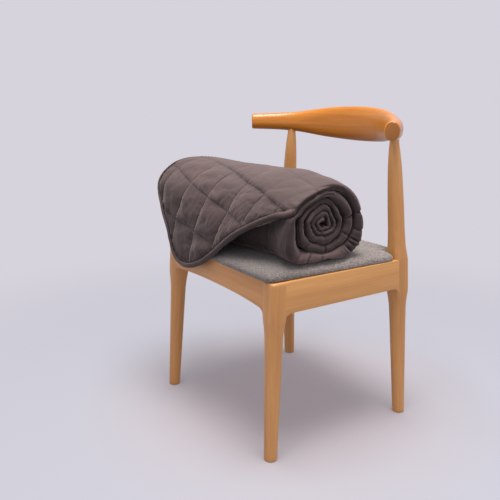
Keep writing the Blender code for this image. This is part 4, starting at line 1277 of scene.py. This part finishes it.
    verts = base + inward * (f * thick + sink)[..., None]
    verts[..., 0] += move_x
    verts[..., 0] = np.clip(verts[..., 0], ROLL_LEFT - 0.003, ROLL_RIGHT + 0.005)
    verts[..., 2] = np.where(is_flap, verts[..., 2], np.maximum(verts[..., 2], ROLL_BOTTOM))

    rows = len(X)
    flat = verts.reshape(-1, 3)
    faces = []
    idx = np.arange(rows * m).reshape(rows, m)
    nxt = np.roll(idx, -1, axis=1)
    quads = np.stack([idx[:-1], nxt[:-1], nxt[1:], idx[1:]], -1).reshape(-1, 4)
    faces = [tuple(q) for q in quads.tolist()]
    # close the hem end and the core end with strips across the loop
    for row, flip in ((0, True), (rows - 1, False)):
        ring = idx[row].tolist()
        faces += strip_cap(ring, n_out, n_cap, n_in, flip)
    cloth = np.stack([qi, qj, f], -1).reshape(-1, 3)
    # how strongly the painted shade in the seams shows
    shown = np.clip(face, 0, 1) * (1 - 0.72 * front_area) * (1 - 0.82 * smooth_area)
    shown = shown * (dist_all > 0.0095) * (1 - 0.70 * corner_area)
    # painted light: light thrown up by the seat on the end's lowest turn, and a lighter band along the edge of the
    # loose end's upper left corner; painted shade: the dark hollow under the hem and the left side of the loose end
    painted_bounce_light = ramp(0.37, 0.44, turn) * (1 - ramp(0.60, 0.68, turn)) * ramp(-0.022, -0.004, X - ROLL_RIGHT)
    below = turn - 1.0 - along_x(HEM_W, X)
    shade = np.exp(-((below + 0.020) / 0.016)**2) * ramp(0.110, 0.150, X) * (1 - ramp(0.196, 0.212, X))
    painted_light_far_edge = np.exp(-(dist_all / 0.030)**2) * corner_area
    painted_shade_left_side = 0.42 * ramp(0.120, 0.225, -X) * ramp(0.150, 0.215, A) * is_flap
    # the seams attribute: x, how strongly the painted seam shade shows; y, painted light; z, painted shade
    line = np.stack([shown, 0.48 * painted_bounce_light + 0.16 * painted_light_far_edge,
                     0.80 * shade * (turn > 0.6) * (turn < 1.0) + painted_shade_left_side], -1).reshape(-1, 3)
    obj = make_piece("blanket_rolled", flat, faces, CLOTH, attrs={"cloth": cloth, "seams": line})
    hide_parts("blanket_roll", "blanket_flap")
    return place


def strip_cap(ring, n_out, n_cap, n_in, flip):
    """Triangles across a flattened loop: outer side against inner side."""
    outer = ring[:n_out]
    left = ring[n_out:n_out + n_cap]
    inner = ring[n_out + n_cap:n_out + n_cap + n_in][::-1]
    right = ring[n_out + n_cap + n_in:][::-1]
    half = n_cap // 2
    top = right[::-1][:0] + list(reversed(right[:half])) + outer + left[:half]
    bottom = list(reversed(right[half + 1:])) + inner + list(reversed(left[half + 1:]))
    top = [right[half]] + list(reversed(right[:half])) + outer + left[:half] + [left[half]]
    bottom = [right[half]] + right[half + 1:] + inner + list(reversed(left[half + 1:])) + [left[half]]
    tris = []
    i = j = 0
    while i < len(top) - 1 or j < len(bottom) - 1:
        if j == len(bottom) - 1 or (i < len(top) - 1 and (i + 1) / len(top) <= (j + 1) / len(bottom)):
            tri = (top[i], top[i + 1], bottom[j])
            i += 1
        else:
            tri = (top[i], bottom[j + 1], bottom[j])
            j += 1
        if len(set(tri)) == 3:
            tris.append(tri if not flip else tri[::-1])
    return tris


def binding(place):
    """Tape folded over the hem, the round corner and the left edge."""
    samples = 420
    total = BOUNDARY_ARC[-1]
    at = np.linspace(0.004, total - 0.001, samples)
    line = np.stack([np.interp(at, BOUNDARY_ARC, BOUNDARY[:, 0]),
                     np.interp(at, BOUNDARY_ARC, BOUNDARY[:, 1])], 1)
    tan = unit(np.gradient(line, axis=0))
    for _ in range(3):
        tan = unit(np.stack([np.convolve(np.pad(tan[:, c], 4, mode="edge"), np.ones(9) / 9, "valid")
                             for c in (0, 1)], 1))
    nrm = np.stack([tan[:, 1], -tan[:, 0]], 1)
    if np.sum((np.array([-0.05, 0.12]) - line[130]) * nrm[130]) < 0:
        nrm = -nrm
    # d into the sheet, height over the face; outer leg, nose, inner leg, back inside
    section = ((0.0112, -0.0016, 0), (0.0111, 0.0002, 0), (0.0105, 0.0010, 0), (0.0090, 0.0013, 0),
               (0.0068, 0.0015, 0), (0.0042, 0.0014, 0), (0.0022, 0.0012, 0), (0.0008, 0.0011, 0),
               (-0.0004, 0.0009, 0), (-0.0012, 0.0002, 0), (-0.0014, 0.0, 1), (-0.0012, 0.0002, 2),
               (-0.0004, 0.0009, 2), (0.0008, 0.0011, 2), (0.0022, 0.0012, 2), (0.0050, 0.0012, 2),
               (0.0090, 0.0009, 2), (0.0096, -0.0016, 2))
    h_edge = 0.0065
    narrow = hem_width(at)[:, None]
    ring_list, cloth = [], []
    for d, h, side in section:
        dd = max(d, 0.0)
        p2 = line + nrm * dd * narrow
        p2[:, 0] = np.clip(p2[:, 0], ROLL_LEFT, ROLL_RIGHT)
        x, arc = p2[:, 0], p2[:, 1]
        xc = np.clip(x, ROLL_LEFT + 0.006, ROLL_RIGHT - 0.006)
        base = place(x, arc)
        ex = place(xc + 0.004, arc) - place(xc - 0.004, arc)
        es = place(xc, arc + 0.004) - place(xc, arc - 0.004)
        n = unit(np.cross(es, ex))
        t_join = sample(LAYER, xc, along_x(JOIN_W, xc), WIND)
        thick = FLAP_T + (t_join - FLAP_T) * ramp(0.055, JOIN, arc)
        q2 = line + nrm * (dd + 0.002) * narrow
        q2[:, 0] = np.clip(q2[:, 0], ROLL_LEFT, ROLL_RIGHT)
        g = unit(place(q2[:, 0], q2[:, 1]) - place(x, arc))
        e = min(dd / h_edge, 1.0)
        f_out = min(0.5 * (1 - math.sqrt(max(1 - (1 - e)**2, 0))), 0.40)
        wav = 0.0003 * ripple(at, at * 0 + d * 20, 0.02, 71)
        low = narrow[:, 0]
        if side == 0:
            off = f_out * thick + 0.0015 - h * low + wav * (h > 0)
        elif side == 2:
            off = (1 - f_out) * thick - 0.0 + h * low
        else:
            off = 0.5 * thick
        p = base - n * np.asarray(off)[:, None] + g * min(d, 0.0) * narrow
        ring_list.append(p)
        # painted light: the tape is lighter on its outer leg near the start of the hem and on the upper part of the
        # left edge
        painted_tape_light = 0.55 * (1 - ramp(0.030, 0.068, at)) * (d > 0.002) * (side == 0) \
            + 0.32 * ramp(0.6 * total, 0.61 * total, at) * ramp(-0.200, -0.130, -line[:, 1])
        cloth.append(np.stack([at / CELL, np.full(samples, d / CELL), painted_tape_light], 1))
    rings = np.stack(ring_list, 1)          # samples x section x 3
    m = rings.shape[1]
    idx = np.arange(samples * m).reshape(samples, m)
    nxt = np.roll(idx, -1, axis=1)
    faces = [tuple(q) for q in np.stack([idx[:-1], nxt[:-1], nxt[1:], idx[1:]], -1).reshape(-1, 4).tolist()]
    faces.append(tuple(idx[0].tolist()[::-1]))
    faces.append(tuple(idx[-1].tolist()))
    obj = make_piece("edge_binding", rings.reshape(-1, 3), faces, BINDING,
                     attrs={"cloth": np.stack(cloth, 1).reshape(-1, 3)})
    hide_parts("flap_binding")


# ----------------------------------------------------------------- build the object
backrest()
front_leg("leg_front_right", 1)
front_leg("leg_front_left", -1)
back_leg("leg_back_right", 1)
back_leg("leg_back_left", -1)
rail("rail_front", front_at(-1), front_at(1), (1, 0), (0, -1), FRONT_RAIL_END_H, FRONT_RAIL_MID_H, 0.010)
rail("rail_back", back_at(-1), back_at(1), (1, 0), (0, 1), BACK_RAIL_H, BACK_RAIL_H, 0.010)
rail("rail_right", front_at(1), back_at(1), (0, 1), (1, 0), SIDE_RAIL_H, SIDE_RAIL_H, 0.012, mat=RAIL_WOOD)
rail("rail_left", front_at(-1), back_at(-1), (0, 1), (-1, 0), SIDE_RAIL_H, SIDE_RAIL_H, 0.012, mat=RAIL_WOOD)
seat_pad()
binding(blanket())


# ----------------------------------------------------------------- studio
def studio_set():
    """A wide pale floor; the backdrop beyond it is the same colour."""
    rings, sides = (0.0, 0.4, 0.8, 1.3, 1.8, 2.6, 4.0, 8.0, 20.0, 60.0), 72
    verts, faces = [(0.0, 0.0, -0.0002)], []
    for r in rings[1:]:
        for i in range(sides):
            a = 2 * math.pi * i / sides
            verts.append((r * math.cos(a), r * math.sin(a), -0.0002))
    for i in range(sides):
        faces.append((0, 1 + i, 1 + (i + 1) % sides))
    for k in range(len(rings) - 2):
        for i in range(sides):
            a, b = 1 + k * sides + i, 1 + k * sides + (i + 1) % sides
            faces.append((a, a + sides, b + sides, b))
    mesh = bpy.data.meshes.new("studio_floor")
    mesh.from_pydata(verts, [], faces)
    mesh.materials.append(studio("studio_floor"))
    obj = bpy.data.objects.new("studio_floor", mesh)
    bpy.context.scene.collection.objects.link(obj)


studio_set()


def area_light(name, at, aim, size, energy, colour=(1, 1, 1)):
    data = bpy.data.lights.new(name, "AREA")
    data.shape = "RECTANGLE"
    data.size, data.size_y = size
    data.energy = energy
    data.color = colour
    obj = bpy.data.objects.new(name, data)
    obj.location = at
    obj.rotation_euler = (Vector(aim) - Vector(at)).to_track_quat("-Z", "Y").to_euler()
    bpy.context.scene.collection.objects.link(obj)


area_light("overhead", (0.26, -0.17, 2.65), (0.0, 0.0, 0.0), (1.25, 1.4), 82, (1.0, 0.985, 0.97))
area_light("right_fill", (2.3, 0.5, 1.5), (0.0, 0.0, 0.45), (1.4, 1.4), 4, (1.0, 0.99, 0.97))

world = bpy.data.worlds.new("studio")
bpy.context.scene.world = world
world.use_nodes = True
world.node_tree.nodes["Background"].inputs[0].default_value = (*BACKDROP, 1.0)
world.node_tree.nodes["Background"].inputs[1].default_value = 1.0

bpy.context.scene.view_settings.view_transform = "Standard"
bpy.context.scene.view_settings.look = "None"

# ----------------------------------------------------------------- camera
AZ, PITCH_DOWN, FOCAL_PX = math.radians(56.1877), math.radians(14.0838), 642.89
cam_data = bpy.data.cameras.new("camera")
cam_data.sensor_fit = "AUTO"
cam_data.sensor_width = 36.0
cam_data.lens = 36.0 * FOCAL_PX / 500.0
cam = bpy.data.objects.new("camera", cam_data)
forward = Vector((-math.sin(AZ) * math.cos(PITCH_DOWN), math.cos(AZ) * math.cos(PITCH_DOWN),
                  -math.sin(PITCH_DOWN)))
right = Vector((math.cos(AZ), math.sin(AZ), 0.0))
up = right.cross(forward)
cam.matrix_world = Matrix((
    (right.x, up.x, -forward.x, 1.2488),
    (right.y, up.y, -forward.y, -0.9355 + SHIFT),
    (right.z, up.z, -forward.z, 0.79),
    (0, 0, 0, 1)))
bpy.context.scene.collection.objects.link(cam)
bpy.context.scene.camera = cam

bpy.context.view_layer.update()
